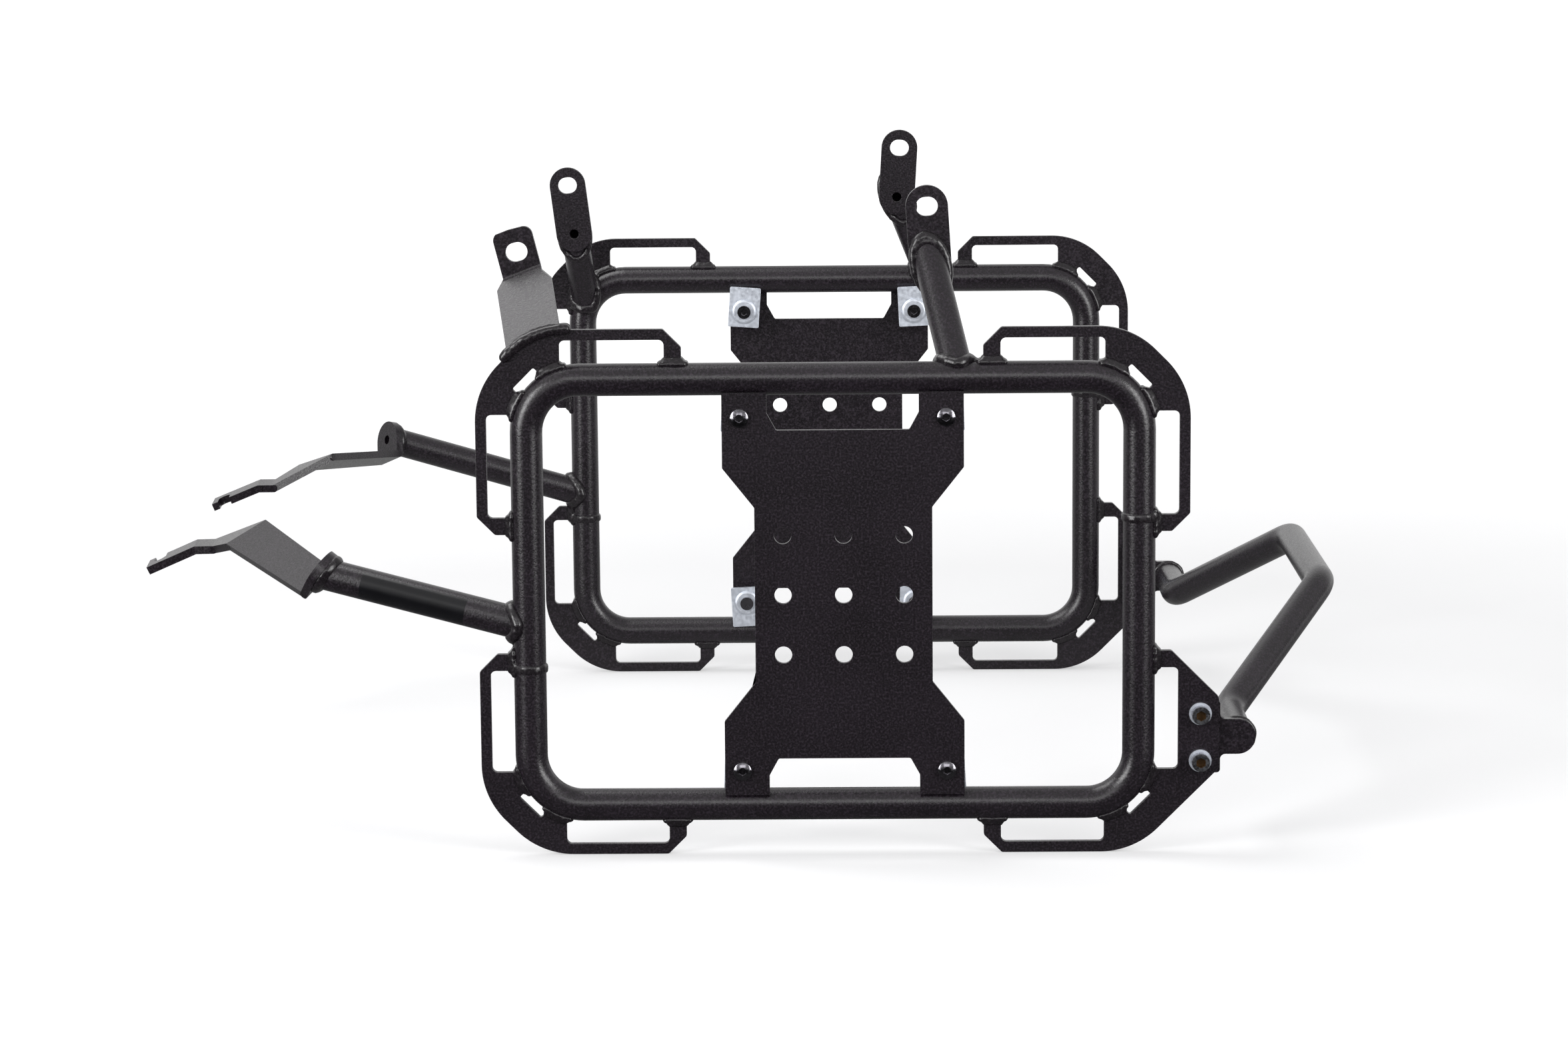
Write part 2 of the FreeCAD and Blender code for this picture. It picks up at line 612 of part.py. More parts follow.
def accessory_plate(side):
    """Plate with a grid of holes that lies across the loop, edges on the tube flanks."""
    top = MIDDLE_Z - TUBE_RADIUS + PLATE_LAP
    floor, shoulder = MIDDLE_Z - NOTCH_FLOOR_INSET, MIDDLE_Z - NOTCH_SHOULDER_INSET
    flare_start, flare_end = MIDDLE_Z - FLARE_START_INSET, MIDDLE_Z - FLARE_END_INSET
    right = [(NOTCH_FLOOR_HALF, -floor, PLATE_ROUND),
             (NOTCH_HALF_WIDTH, -shoulder, PLATE_ROUND),
             (NOTCH_HALF_WIDTH, -top, 0), (PLATE_HALF_WIDTH, -top, 0),
             (PLATE_HALF_WIDTH, -flare_end, PLATE_ROUND),
             (PLATE_WAIST, -flare_start, PLATE_ROUND)]
    right = right + [(x, -z, r) for x, z, r in reversed(right)]
    left = [(-x, z, r) for x, z, r in reversed(right)]
    body = plate(rounded_wire(right + left), PLATE_OUTER, PLATE_INNER)
    middle = (GRID_COUNT - 1) / 2
    for column in range(GRID_COUNT):
        for row in range(GRID_COUNT):
            x, z = (column - middle) * GRID_PITCH, (row - middle) * GRID_PITCH
            body = body.cut(cylinder_y(GRID_HOLE / 2, x, z, PLATE_OUTER, PLATE_INNER))
    body.translate(V(PLATE_X[side], 0, MIDDLE_Z))
    for x, z, _ in screw_places(side):
        radius = (SCREW_DIAMETER + HOLE_CLEARANCE) / 2
        body = body.cut(cylinder_y(radius, x, z, PLATE_OUTER, PLATE_INNER))
    return body


def clamp_seat(turn):
    """Where the outer face of a turned clamp plate touches the tube flank."""
    angle = math.radians(abs(turn))
    reach = CLAMP_REACH * math.cos(angle) + CLAMP_WIDTH / 2 * math.sin(angle)
    return flank(reach - SCREW_INSET + TUBE_RADIUS)


def clamp_stack(side):
    """Clamp plates, crowned washers, sleeve nuts and button screws of one accessory plate."""
    clamps, washers, nuts, screws = [], [], [], []
    half = CLAMP_WIDTH / 2
    for (x, z, way), turn in zip(screw_places(side), CLAMP_TURN[side]):
        seat = clamp_seat(turn)
        inner = seat + CLAMP_THICKNESS
        tail, nose = -way * CLAMP_TAIL, way * CLAMP_REACH
        corners = [(-half, tail, CLAMP_ROUND), (half, tail, CLAMP_ROUND),
                   (half, nose, CLAMP_ROUND), (-half, nose, CLAMP_ROUND)]
        clamp = plate(rounded_wire(corners), seat, inner)
        clamp.rotate(V(0, 0, 0), Y_AXIS, turn)
        clamp.translate(V(x, 0, z))
        sleeve_hole = (SLEEVE_DIAMETER + HOLE_CLEARANCE) / 2
        clamps.append(clamp.cut(cylinder_y(sleeve_hole, x, z, seat, inner)))
        crown = inner + WASHER_HEIGHT
        rim = inner + WASHER_RIM
        washer = cylinder_y(WASHER_DIAMETER / 2, x, z, inner, rim)
        cone = Part.makeCone(WASHER_DIAMETER / 2, WASHER_CROWN / 2, crown - rim, V(x, rim, z), Y_AXIS)
        washers.append(washer.fuse(cone).cut(cylinder_y(sleeve_hole, x, z, inner, crown)))
        foot = PLATE_INNER + SLEEVE_GAP
        top = crown + SLEEVE_HEAD_HEIGHT
        nut = cylinder_y(SLEEVE_DIAMETER / 2, x, z, foot, crown)
        nut = nut.fuse(Part.makeCylinder(SLEEVE_HEAD / 2, SLEEVE_HEAD_HEIGHT, V(x, crown, z), Y_AXIS))
        nut = nut.cut(hexagon_y(BUTTON_SOCKET, x, z, top - SOCKET_DEPTH, top))
        screw_end = crown - SCREW_SETBACK
        nuts.append(nut.cut(cylinder_y(SCREW_DIAMETER / 2, x, z, foot, screw_end)))
        head = PLATE_OUTER - BUTTON_HEIGHT
        dome = Part.makeSphere(BUTTON_DIAMETER, V(x, head + BUTTON_DIAMETER, z))
        button = cylinder_y(BUTTON_DIAMETER / 2, x, z, head, PLATE_OUTER).common(dome)
        button = button.cut(hexagon_y(BUTTON_SOCKET, x, z, head, head + SOCKET_DEPTH))
        screws.append(button.fuse(cylinder_y(SCREW_DIAMETER / 2, x, z, PLATE_OUTER, screw_end)))
    return clamps, washers, nuts, screws


LUG_FACE = CORNER_THICKNESS / 2
LUG_BACK = LUG_FACE + LUG_THICKNESS


def bolt_places():
    """The two bolts that hold the cross tube lug."""
    return [(BOLT_X, BOLT_Z - BOLT_SPACING / 2), (BOLT_X, BOLT_Z + BOLT_SPACING / 2)]


def brace_lug():
    """Plate behind the bottom rear corner plate, with a round nose for the cross tube."""
    edge = HALF_LENGTH + PAD_REACH + LUG_OVERHANG
    low, high = LUG_Z - LUG_BODY_HALF, LUG_Z + LUG_BODY_HALF
    outline = [(LUG_BODY_INNER, low, LUG_ROUND), (edge, low, LUG_ROUND),
               (edge, LUG_Z - LUG_RADIUS, 0), (edge, LUG_Z + LUG_RADIUS, 0),
               (edge, high, LUG_ROUND), (LUG_BODY_INNER, high, LUG_ROUND)]
    body = plate(rounded_wire(outline), LUG_FACE, LUG_BACK)
    nose = cylinder_y(LUG_RADIUS, LUG_X, LUG_Z, LUG_FACE, LUG_BACK)
    neck = Part.makeBox(LUG_X - edge + LUG_RADIUS, LUG_THICKNESS, 2 * LUG_RADIUS,
                        V(edge - LUG_RADIUS, LUG_FACE, LUG_Z - LUG_RADIUS))
    body = body.fuse(nose).fuse(neck)
    for way in (-1, 1):
        z = LUG_Z + way * LUG_RADIUS
        corner = [(edge, z, 0), (edge + LUG_FILLET, z, 0), (edge, z + way * LUG_FILLET, 0)]
        web = plate(rounded_wire(corner), LUG_FACE, LUG_BACK)
        relief = cylinder_y(LUG_FILLET, edge + LUG_FILLET, z + way * LUG_FILLET, LUG_FACE, LUG_BACK)
        body = body.fuse(web.cut(relief))
    for x, z in bolt_places():
        radius = (BOLT_DIAMETER + HOLE_CLEARANCE) / 2
        body = body.cut(cylinder_y(radius, x, z, LUG_FACE, LUG_BACK))
    return body.removeSplitter()


def brace_fasteners():
    """Cap screws, washers and nuts of one cross tube lug."""
    screws, washers, nuts = [], [], []
    plate_face = -CORNER_THICKNESS / 2
    washer_face = plate_face - BOLT_WASHER_THICKNESS
    head_face = washer_face - BOLT_HEAD_HEIGHT
    nut_end = LUG_BACK + NUT_HEIGHT
    for x, z in bolt_places():
        head = cylinder_y(BOLT_HEAD / 2, x, z, head_face, washer_face)
        head = head.cut(hexagon_y(BOLT_SOCKET, x, z, head_face, head_face + BOLT_SOCKET_DEPTH))
        screws.append(head.fuse(cylinder_y(BOLT_DIAMETER / 2, x, z, washer_face, nut_end + BOLT_TAIL)))
        hole = (BOLT_DIAMETER + HOLE_CLEARANCE) / 2
        ring = cylinder_y(BOLT_WASHER / 2, x, z, washer_face, plate_face)
        washers.append(ring.cut(cylinder_y(hole, x, z, washer_face, plate_face)))
        nut = hexagon_y(NUT_FLATS, x, z, LUG_BACK, nut_end)
        nuts.append(nut.cut(cylinder_y(BOLT_DIAMETER / 2, x, z, LUG_BACK, nut_end)))
    return screws, washers, nuts


def cross_points():
    """Corner points of the cross tube in the frame of the whole part."""
    side = -RACK_SPACING / 2
    left = [V(LUG_X, side + LUG_BACK, LUG_Z), V(LUG_X, side + CROSS_STUB, LUG_Z),
            V(CROSS_X, side + CROSS_INSET, CROSS_Z)]
    return left + [V(p.x, -p.y, p.z) for p in reversed(left)]


def bead(first, second, parts):
    """Weld metal where two fattened shapes overlap, outside the welded parts."""
    metal = first.common(second)
    for part in parts:
        metal = metal.cut(part)
    return [solid for solid in metal.Solids if solid.Volume > SMALLEST_BEAD]


def arm_beads(base, tip, normal):
    """Beads round both ends of a tube arm."""
    along = (tip - base).normalize()
    outside = straight_rod(base, tip + along * TUBE_DIAMETER * 2, TUBE_RADIUS)
    fat = straight_rod(base, tip + along * TUBE_DIAMETER * 2, TUBE_RADIUS + BEAD)
    beads = []
    for rod in FAT_LOOP:
        beads += bead(fat, rod, LOOP_OUTSIDE + [outside])
    ring = fat.cut(beyond(tip, normal)).common(beyond(tip - normal * BEAD, normal))
    return beads + bead(ring, ring, [outside])


def foot_beads(side_x, side_z):
    """Beads at the feet of a corner plate: two strip ends and both sides of the middle web."""
    feet = [(-STRIP_END, -SLOT_END), (-SLOT_START, -SLOT_START + WEB_BEAD_LENGTH)]
    half = CORNER_THICKNESS / 2 + FOOT_BEAD
    beads = []
    for start, end in feet:
        height = TUBE_RADIUS + FOOT_BEAD
        low, high = start - FOOT_BEAD, end + FOOT_BEAD
        flat = Part.makeBox(high - low, 2 * half, height, V(low, -half, 0))
        upright = Part.makeBox(height, 2 * half, high - low, V(0, -half, low))
        for box in (flat, upright):
            fat = at_corner(box, side_x, side_z)
            for rod in THICK_LOOP:
                beads += bead(fat, rod, LOOP_OUTSIDE)
    return beads


def seam_beads():
    """Low rings over the two butt welds that join the loop halves."""
    beads = []
    for x, z in ((-HALF_LENGTH, SEAM_OFFSET), (HALF_LENGTH, LOOP_HEIGHT - SEAM_OFFSET)):
        start = V(x, 0, z - SEAM_BEAD_WIDTH / 2)
        ring = Part.makeCylinder(TUBE_RADIUS + SEAM_BEAD, SEAM_BEAD_WIDTH, start)
        beads += bead(ring, ring, LOOP_OUTSIDE)
    return beads


def one_weld(beads, parts):
    """Beads that run into each other made one, and kept outside the pieces they join."""
    metal = beads[0].multiFuse(beads[1:])
    for part in parts:
        metal = metal.cut(part)
    return [solid for solid in metal.Solids if solid.Volume > SMALLEST_BEAD]


def place(shape, side):
    """Carry a piece from the rack frame to the left or the right rack."""
    if side == "right":
        shape = shape.mirror(V(0, 0, 0), Y_AXIS)
    shift = -RACK_SPACING / 2 if side == "left" else RACK_SPACING / 2
    shape.translate(V(0, shift, 0))
    return shape


def build_rack(side):
    """All pieces of one rack in the rack frame, as node name to list of solids."""
    pieces = {}
    for name, outside, bore in zip(("upper", "lower"), LOOP_OUTSIDE, LOOP_BORE):
        pieces[side + "_loop_" + name] = [outside.cut(bore)]
    beads = seam_beads()
    for side_z, level in ((1, "top"), (-1, "bottom")):
        for side_x, end in ((-1, "front"), (1, "rear")):
            corner = corner_plate(side_x, side_z, carries_brace=(level, end) == ("bottom", "rear"))
            pieces["%s_%s_%s_corner_plate" % (side, level, end)] = [corner]
            beads += foot_beads(side_x, side_z)
    left = side == "left"
    hole_x = LEFT_REAR_HOLE_X if left else RIGHT_REAR_HOLE_X
    tilt = LEFT_REAR_TILT if left else RIGHT_REAR_TILT
    base = V(LEFT_REAR_BASE_X if left else RIGHT_REAR_BASE_X, 0, LOOP_HEIGHT)
    tip = vent_point(hole_x, REAR_HOLE_Z, tilt, REAR_TAB_INSET)
    tab = round_tab(hole_x, REAR_HOLE_Z, tilt, REAR_TAB_INSET)
    pieces[side + "_upper_rear_arm"] = [arm(base, tip, Y_AXIS)]
    pieces[side + "_upper_rear_tab"] = [tab]
    beads += arm_beads(base, tip, Y_AXIS)
    if left:
        pieces["left_upper_front_bracket"] = [upper_front_bracket()]
        beads += bracket_beads()
    else:
        base = bend_point(RIGHT_FRONT_BASE_ANGLE)
        tip = vent_point(FRONT_HOLE_X, FRONT_HOLE_Z, RIGHT_FRONT_TILT, FRONT_TAB_INSET)
        tab = round_tab(FRONT_HOLE_X, FRONT_HOLE_Z, RIGHT_FRONT_TILT, FRONT_TAB_INSET)
        plate_face = V(0, CORNER_THICKNESS / 2, 0)
        pieces["right_upper_front_arm"] = [arm(base, tip, Y_AXIS).cut(beyond(plate_face, -Y_AXIS))]
        pieces["right_upper_front_tab"] = [tab]
        beads += arm_beads(base, tip, Y_AXIS)
    base, tip = V(-HALF_LENGTH, 0, ARM_BASE_Z[side]), ARM_TIP[side]
    normal = strap_axes(side)[0]
    pieces[side + "_lower_front_arm"] = [arm(base, tip, normal)]
    pieces[side + "_footpeg_strap"] = [footpeg_strap(side)]
    beads += arm_beads(base, tip, normal)
    pieces[side + "_accessory_plate"] = [accessory_plate(side)]
    names = ("clamp_plates", "clamp_washers", "clamp_nuts", "plate_screws")
    for name, solids in zip(names, clamp_stack(side)):
        pieces[side + "_" + name] = solids
    pieces[side + "_brace_lug"] = [brace_lug()]
    for name, solids in zip(("screws", "washers", "nuts"), brace_fasteners()):
        pieces["%s_brace_%s" % (side, name)] = solids
    joined = [solid for solids in pieces.values() for solid in solids]
    pieces[side + "_weld_beads"] = one_weld(beads, joined)
    return pieces


def build_part():
    """Both racks and the cross tube in the frame of the whole part."""
    pieces = {}
    for side in ("left", "right"):
        for name, solids in build_rack(side).items():
            pieces[name] = [place(solid, side) for solid in solids]
    points = cross_points()
    tube = bent_rod(points, TUBE_RADIUS).cut(bent_rod(points, BORE_RADIUS))
    pieces["rear_cross_tube"] = [tube]
    beads = []
    for point, way in ((points[0], 1), (points[-1], -1)):
        ring = Part.makeCone(LUG_RADIUS, TUBE_RADIUS + SEAM_BEAD, BEAD, point, Y_AXIS * way)
        beads.append(ring.cut(straight_rod(point, point + Y_AXIS * way * BEAD, TUBE_RADIUS)))
    pieces["cross_tube_weld_beads"] = beads
    return pieces


def export(pieces):
    """Stand the part on the floor, centred on its length, and write one file per node."""
    os.makedirs("parts", exist_ok=True)
    box = Part.makeCompound([solid for solids in pieces.values() for solid in solids]).BoundBox
    shift = V(-(box.XMin + box.XMax) / 2, 0, PLATE_REACH)
    for name, solids in pieces.items():
        shape = solids[0] if len(solids) == 1 else Part.makeCompound(solids)
        shape.translate(shift)
        shape.exportStep("parts/%s.step" % name)
    print("nodes", len(pieces), "shift", shift, "box", box)


export(build_part())
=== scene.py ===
"""Looks of a motorcycle side pannier rack set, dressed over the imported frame."""

import logging
import math
import random
from dataclasses import dataclass, field
from enum import Enum

import bmesh
import bpy
from mathutils import Matrix, Vector

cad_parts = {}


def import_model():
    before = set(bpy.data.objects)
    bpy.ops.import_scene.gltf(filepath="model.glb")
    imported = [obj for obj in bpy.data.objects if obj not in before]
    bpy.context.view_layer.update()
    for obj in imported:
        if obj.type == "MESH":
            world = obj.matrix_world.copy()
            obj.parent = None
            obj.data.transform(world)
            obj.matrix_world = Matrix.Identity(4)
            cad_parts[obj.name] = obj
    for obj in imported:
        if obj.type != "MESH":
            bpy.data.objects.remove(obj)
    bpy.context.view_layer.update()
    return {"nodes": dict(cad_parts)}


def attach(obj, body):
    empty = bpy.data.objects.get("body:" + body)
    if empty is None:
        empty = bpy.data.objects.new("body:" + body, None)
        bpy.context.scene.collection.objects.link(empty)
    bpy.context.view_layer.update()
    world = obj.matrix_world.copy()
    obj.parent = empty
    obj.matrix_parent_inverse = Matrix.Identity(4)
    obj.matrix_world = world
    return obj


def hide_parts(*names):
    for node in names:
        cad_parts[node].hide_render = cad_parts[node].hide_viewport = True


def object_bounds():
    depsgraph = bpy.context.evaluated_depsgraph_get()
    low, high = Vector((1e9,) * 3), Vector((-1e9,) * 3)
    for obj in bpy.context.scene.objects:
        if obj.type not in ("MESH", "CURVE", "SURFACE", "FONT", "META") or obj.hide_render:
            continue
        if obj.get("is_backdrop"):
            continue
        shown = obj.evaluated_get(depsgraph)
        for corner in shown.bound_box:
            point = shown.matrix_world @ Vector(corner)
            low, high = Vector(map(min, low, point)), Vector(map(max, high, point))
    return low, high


LOG = logging.getLogger("pannier_racks")
MM = 0.001
IMAGE_WIDTH = 2353


class Side(Enum):
    """The two racks, named by the side of the motorcycle they hang on."""

    LEFT = "left"
    RIGHT = "right"


class Slot(Enum):
    """Material slots of the record."""

    COATED = "coated_steel"
    ZINC = "zinc"
    BLACK = "black_fastener"


def srgb(hex_code: str) -> tuple[float, float, float, float]:
    """Turns an sRGB hex colour into the linear values that the shader takes.

    Args:
        hex_code: Six hex digits, with or without a leading hash.

    Returns:
        Red, green, blue and alpha, linear.
    """
    digits = hex_code.lstrip("#")
    channels = [int(digits[i:i + 2], 16) / 255 for i in (0, 2, 4)]
    linear = [c / 12.92 if c <= 0.04045 else ((c + 0.055) / 1.055) ** 2.4 for c in channels]
    return linear[0], linear[1], linear[2], 1.0


def turns(count: int) -> list[float]:
    """Evenly spaced angles round a full turn, in radians."""
    return [math.tau * i / count for i in range(count)]


def add_node(tree: bpy.types.NodeTree, kind: str,
             settings: dict[str | int, object] | None = None,
             links: dict[str | int, bpy.types.NodeSocket] | None = None) -> bpy.types.Node:
    """Adds one node with its settings and incoming links.

    Args:
        tree: Node tree to add to.
        kind: Node type, such as ShaderNodeTexNoise.
        settings: Attribute name, input name or input number to value.
        links: Input name or number to the output socket that feeds it.

    Returns:
        The new node.
    """
    made = tree.nodes.new(kind)
    for name, value in (settings or {}).items():
        if isinstance(name, int) or name in made.inputs:
            made.inputs[name].default_value = value
        else:
            setattr(made, name, value)
    for name, source in (links or {}).items():
        tree.links.new(source, made.inputs[name])
    return made


def new_material(name: str) -> tuple[bpy.types.Material, bpy.types.NodeTree, bpy.types.NodeSocket]:
    """Makes an empty node material.

    Args:
        name: Material name.

    Returns:
        The material, its tree and the surface input of its output node.
    """
    material = bpy.data.materials.new(name)
    material.use_nodes = True
    tree = material.node_tree
    tree.nodes.clear()
    output = tree.nodes.new("ShaderNodeOutputMaterial")
    return material, tree, output.inputs["Surface"]


@dataclass(frozen=True)
class PowderCoat:
    """Fine-textured satin black polyester powder coat, sprayed on steel and baked.

    The baked powder leaves a fine pebbled skin that breaks reflections into a soft charcoal
    sheen with small bright grains. The colour is mottled in soft clouds. The bright grains come
    partly from the bumped grain and its varying roughness, and partly from painted glints,
    where the grain's peaks are painted in the lighter colour. The real pebbles are about 0.4 mm,
    too fine to show here, so they are drawn three to four times as coarse.
    """

    name: str = "textured_powder_coat"
    low: str = "#0c090c"
    high: str = "#272028"
    grain_mm: float = 1.15
    cloud_mm: float = 38.0
    cloud_share: float = 0.45
    # Grain values between these two are painted lighter, as painted glints.
    painted_glint_start: float = 0.50
    painted_glint_full: float = 0.72
    roughness: float = 0.30
    roughness_spread: float = 0.14
    bump_mm: float = 0.11
    ior: float = 1.52

    def build(self) -> bpy.types.Material:
        """Builds the coat's node material.

        Returns:
            The material.
        """
        material, tree, surface = new_material(self.name)
        place = add_node(tree, "ShaderNodeTexCoord").outputs["Object"]
        grain = add_node(tree, "ShaderNodeTexNoise",
                         {"Scale": 1 / (self.grain_mm * MM), "Detail": 2.0, "Roughness": 0.55},
                         {"Vector": place})
        cloud = add_node(tree, "ShaderNodeTexNoise",
                         {"Scale": 1 / (self.cloud_mm * MM), "Detail": 3.0}, {"Vector": place})
        # Painted glints: the grain's peaks are mixed towards the lighter colour.
        painted_glint = add_node(tree, "ShaderNodeMapRange",
                         {"From Min": self.painted_glint_start, "From Max": self.painted_glint_full,
                          "To Min": 0.0, "To Max": 1.0}, {"Value": grain.outputs["Fac"]})
        tone = add_node(tree, "ShaderNodeMath",
                        {"operation": "MULTIPLY_ADD", 1: self.cloud_share},
                        {0: cloud.outputs["Fac"], 2: painted_glint.outputs["Result"]})
        colour = add_node(tree, "ShaderNodeMix",
                          {"data_type": "RGBA", "clamp_factor": True,
                           6: srgb(self.low), 7: srgb(self.high)},
                          {"Factor": tone.outputs["Value"]})
        rough = add_node(tree, "ShaderNodeMapRange",
                         {"From Min": 0.3, "From Max": 0.7,
                          "To Min": self.roughness - self.roughness_spread / 2,
                          "To Max": self.roughness + self.roughness_spread / 2},
                         {"Value": grain.outputs["Fac"]})
        bump = add_node(tree, "ShaderNodeBump", {"Strength": 1.0, "Distance": self.bump_mm * MM},
                        {"Height": grain.outputs["Fac"]})
        shader = add_node(tree, "ShaderNodeBsdfPrincipled", {"IOR": self.ior, "Metallic": 0.0},
                          {"Base Color": colour.outputs[2], "Roughness": rough.outputs["Result"],
                           "Normal": bump.outputs["Normal"]})
        tree.links.new(shader.outputs["BSDF"], surface)
        return material


@dataclass(frozen=True)
class ZincPlate:
    """Bright electroplated zinc on stamped steel.

    Clear passivate gives the plate a faint cold blue cast, and rolling and tumbling leave soft
    cloudy patches and fine scratches a few tenths of a millimetre apart. The scratches are
    too fine to show here, so they are drawn 0.7 mm apart.
    """

    name: str = "bright_zinc_plate"
    low: str = "#b9bec8"
    high: str = "#e2e7f0"
    patch_mm: float = 2.2
    scratch_mm: float = 0.7
    scratch_turn: tuple[float, float, float] = (0.3, 0.2, 0.9)
    scratch_squeeze: tuple[float, float, float] = (1.0, 1.0, 0.12)
    roughness: float = 0.42
    polished_by: float = 0.08
    dulled_by: float = 0.12
    metallic: float = 0.72
    bump_mm: float = 0.03

    def build(self) -> bpy.types.Material:
        """Builds the plating's node material.

        Returns:
            The material.
        """
        material, tree, surface = new_material(self.name)
        place = add_node(tree, "ShaderNodeTexCoord").outputs["Object"]
        patch = add_node(tree, "ShaderNodeTexNoise",
                         {"Scale": 1 / (self.patch_mm * MM), "Detail": 4.0}, {"Vector": place})
        turned = add_node(tree, "ShaderNodeMapping",
                          {"Rotation": self.scratch_turn, "Scale": self.scratch_squeeze},
                          {"Vector": place})
        scratch = add_node(tree, "ShaderNodeTexNoise",
                           {"Scale": 1 / (self.scratch_mm * MM), "Detail": 2.0},
                           {"Vector": turned.outputs["Vector"]})
        colour = add_node(tree, "ShaderNodeMix",
                          {"data_type": "RGBA", 6: srgb(self.low), 7: srgb(self.high)},
                          {"Factor": patch.outputs["Fac"]})
        rough = add_node(tree, "ShaderNodeMapRange",
                         {"From Min": 0.3, "From Max": 0.7,
                          "To Min": self.roughness - self.polished_by,
                          "To Max": self.roughness + self.dulled_by},
                         {"Value": patch.outputs["Fac"]})
        bump = add_node(tree, "ShaderNodeBump", {"Strength": 1.0, "Distance": self.bump_mm * MM},
                        {"Height": scratch.outputs["Fac"]})
        shader = add_node(tree, "ShaderNodeBsdfPrincipled", {"Metallic": self.metallic},
                          {"Base Color": colour.outputs[2], "Roughness": rough.outputs["Result"],
                           "Normal": bump.outputs["Normal"]})
        tree.links.new(shader.outputs["BSDF"], surface)
        return material


@dataclass(frozen=True)
class OiledSteel:
    """Oiled steel screw, cold-headed, with or without black oxide: smooth and mirror-like."""

    name: str = "oiled_black_oxide"
    low: str = "#5a585d"
    high: str = "#8c8a90"
    patch_mm: float = 1.4
    roughness: float = 0.16
    polished_by: float = 0.06
    dulled_by: float = 0.08
    metallic: float = 1.0

    def build(self) -> bpy.types.Material:
        """Builds the screw finish's node material.

        Returns:
            The material.
        """
        material, tree, surface = new_material(self.name)
        place = add_node(tree, "ShaderNodeTexCoord").outputs["Object"]
        patch = add_node(tree, "ShaderNodeTexNoise",
                         {"Scale": 1 / (self.patch_mm * MM), "Detail": 3.0}, {"Vector": place})
        colour = add_node(tree, "ShaderNodeMix",
                          {"data_type": "RGBA", 6: srgb(self.low), 7: srgb(self.high)},
                          {"Factor": patch.outputs["Fac"]})
        rough = add_node(tree, "ShaderNodeMapRange",
                         {"From Min": 0.3, "From Max": 0.7,
                          "To Min": self.roughness - self.polished_by,
                          "To Max": self.roughness + self.dulled_by},
                         {"Value": patch.outputs["Fac"]})
        shader = add_node(tree, "ShaderNodeBsdfPrincipled", {"Metallic": self.metallic},
                          {"Base Color": colour.outputs[2], "Roughness": rough.outputs["Result"]})
        tree.links.new(shader.outputs["BSDF"], surface)
        return material


@dataclass(frozen=True)
class LabelFilm:
    """Blank black vinyl label film: smooth, with a glossy clear laminate on top."""

    name: str = "black_vinyl_film"
    low: str = "#08080a"
    high: str = "#0f0f12"
    patch_mm: float = 9.0
    roughness: float = 0.20
    bump_mm: float = 0.1
    ior: float = 1.5

    def build(self) -> bpy.types.Material:
        """Builds the label film's node material.

        Returns:
            The material.
        """
        material, tree, surface = new_material(self.name)
        place = add_node(tree, "ShaderNodeTexCoord").outputs["Object"]
        patch = add_node(tree, "ShaderNodeTexNoise",
                         {"Scale": 1 / (self.patch_mm * MM), "Detail": 2.0}, {"Vector": place})
        colour = add_node(tree, "ShaderNodeMix",
                          {"data_type": "RGBA", 6: srgb(self.low), 7: srgb(self.high)},
                          {"Factor": patch.outputs["Fac"]})
        bump = add_node(tree, "ShaderNodeBump", {"Strength": 0.6, "Distance": self.bump_mm * MM},
                        {"Height": patch.outputs["Fac"]})
        shader = add_node(tree, "ShaderNodeBsdfPrincipled",
                          {"IOR": self.ior, "Roughness": self.roughness},
                          {"Base Color": colour.outputs[2], "Normal": bump.outputs["Normal"]})
        tree.links.new(shader.outputs["BSDF"], surface)
        return material


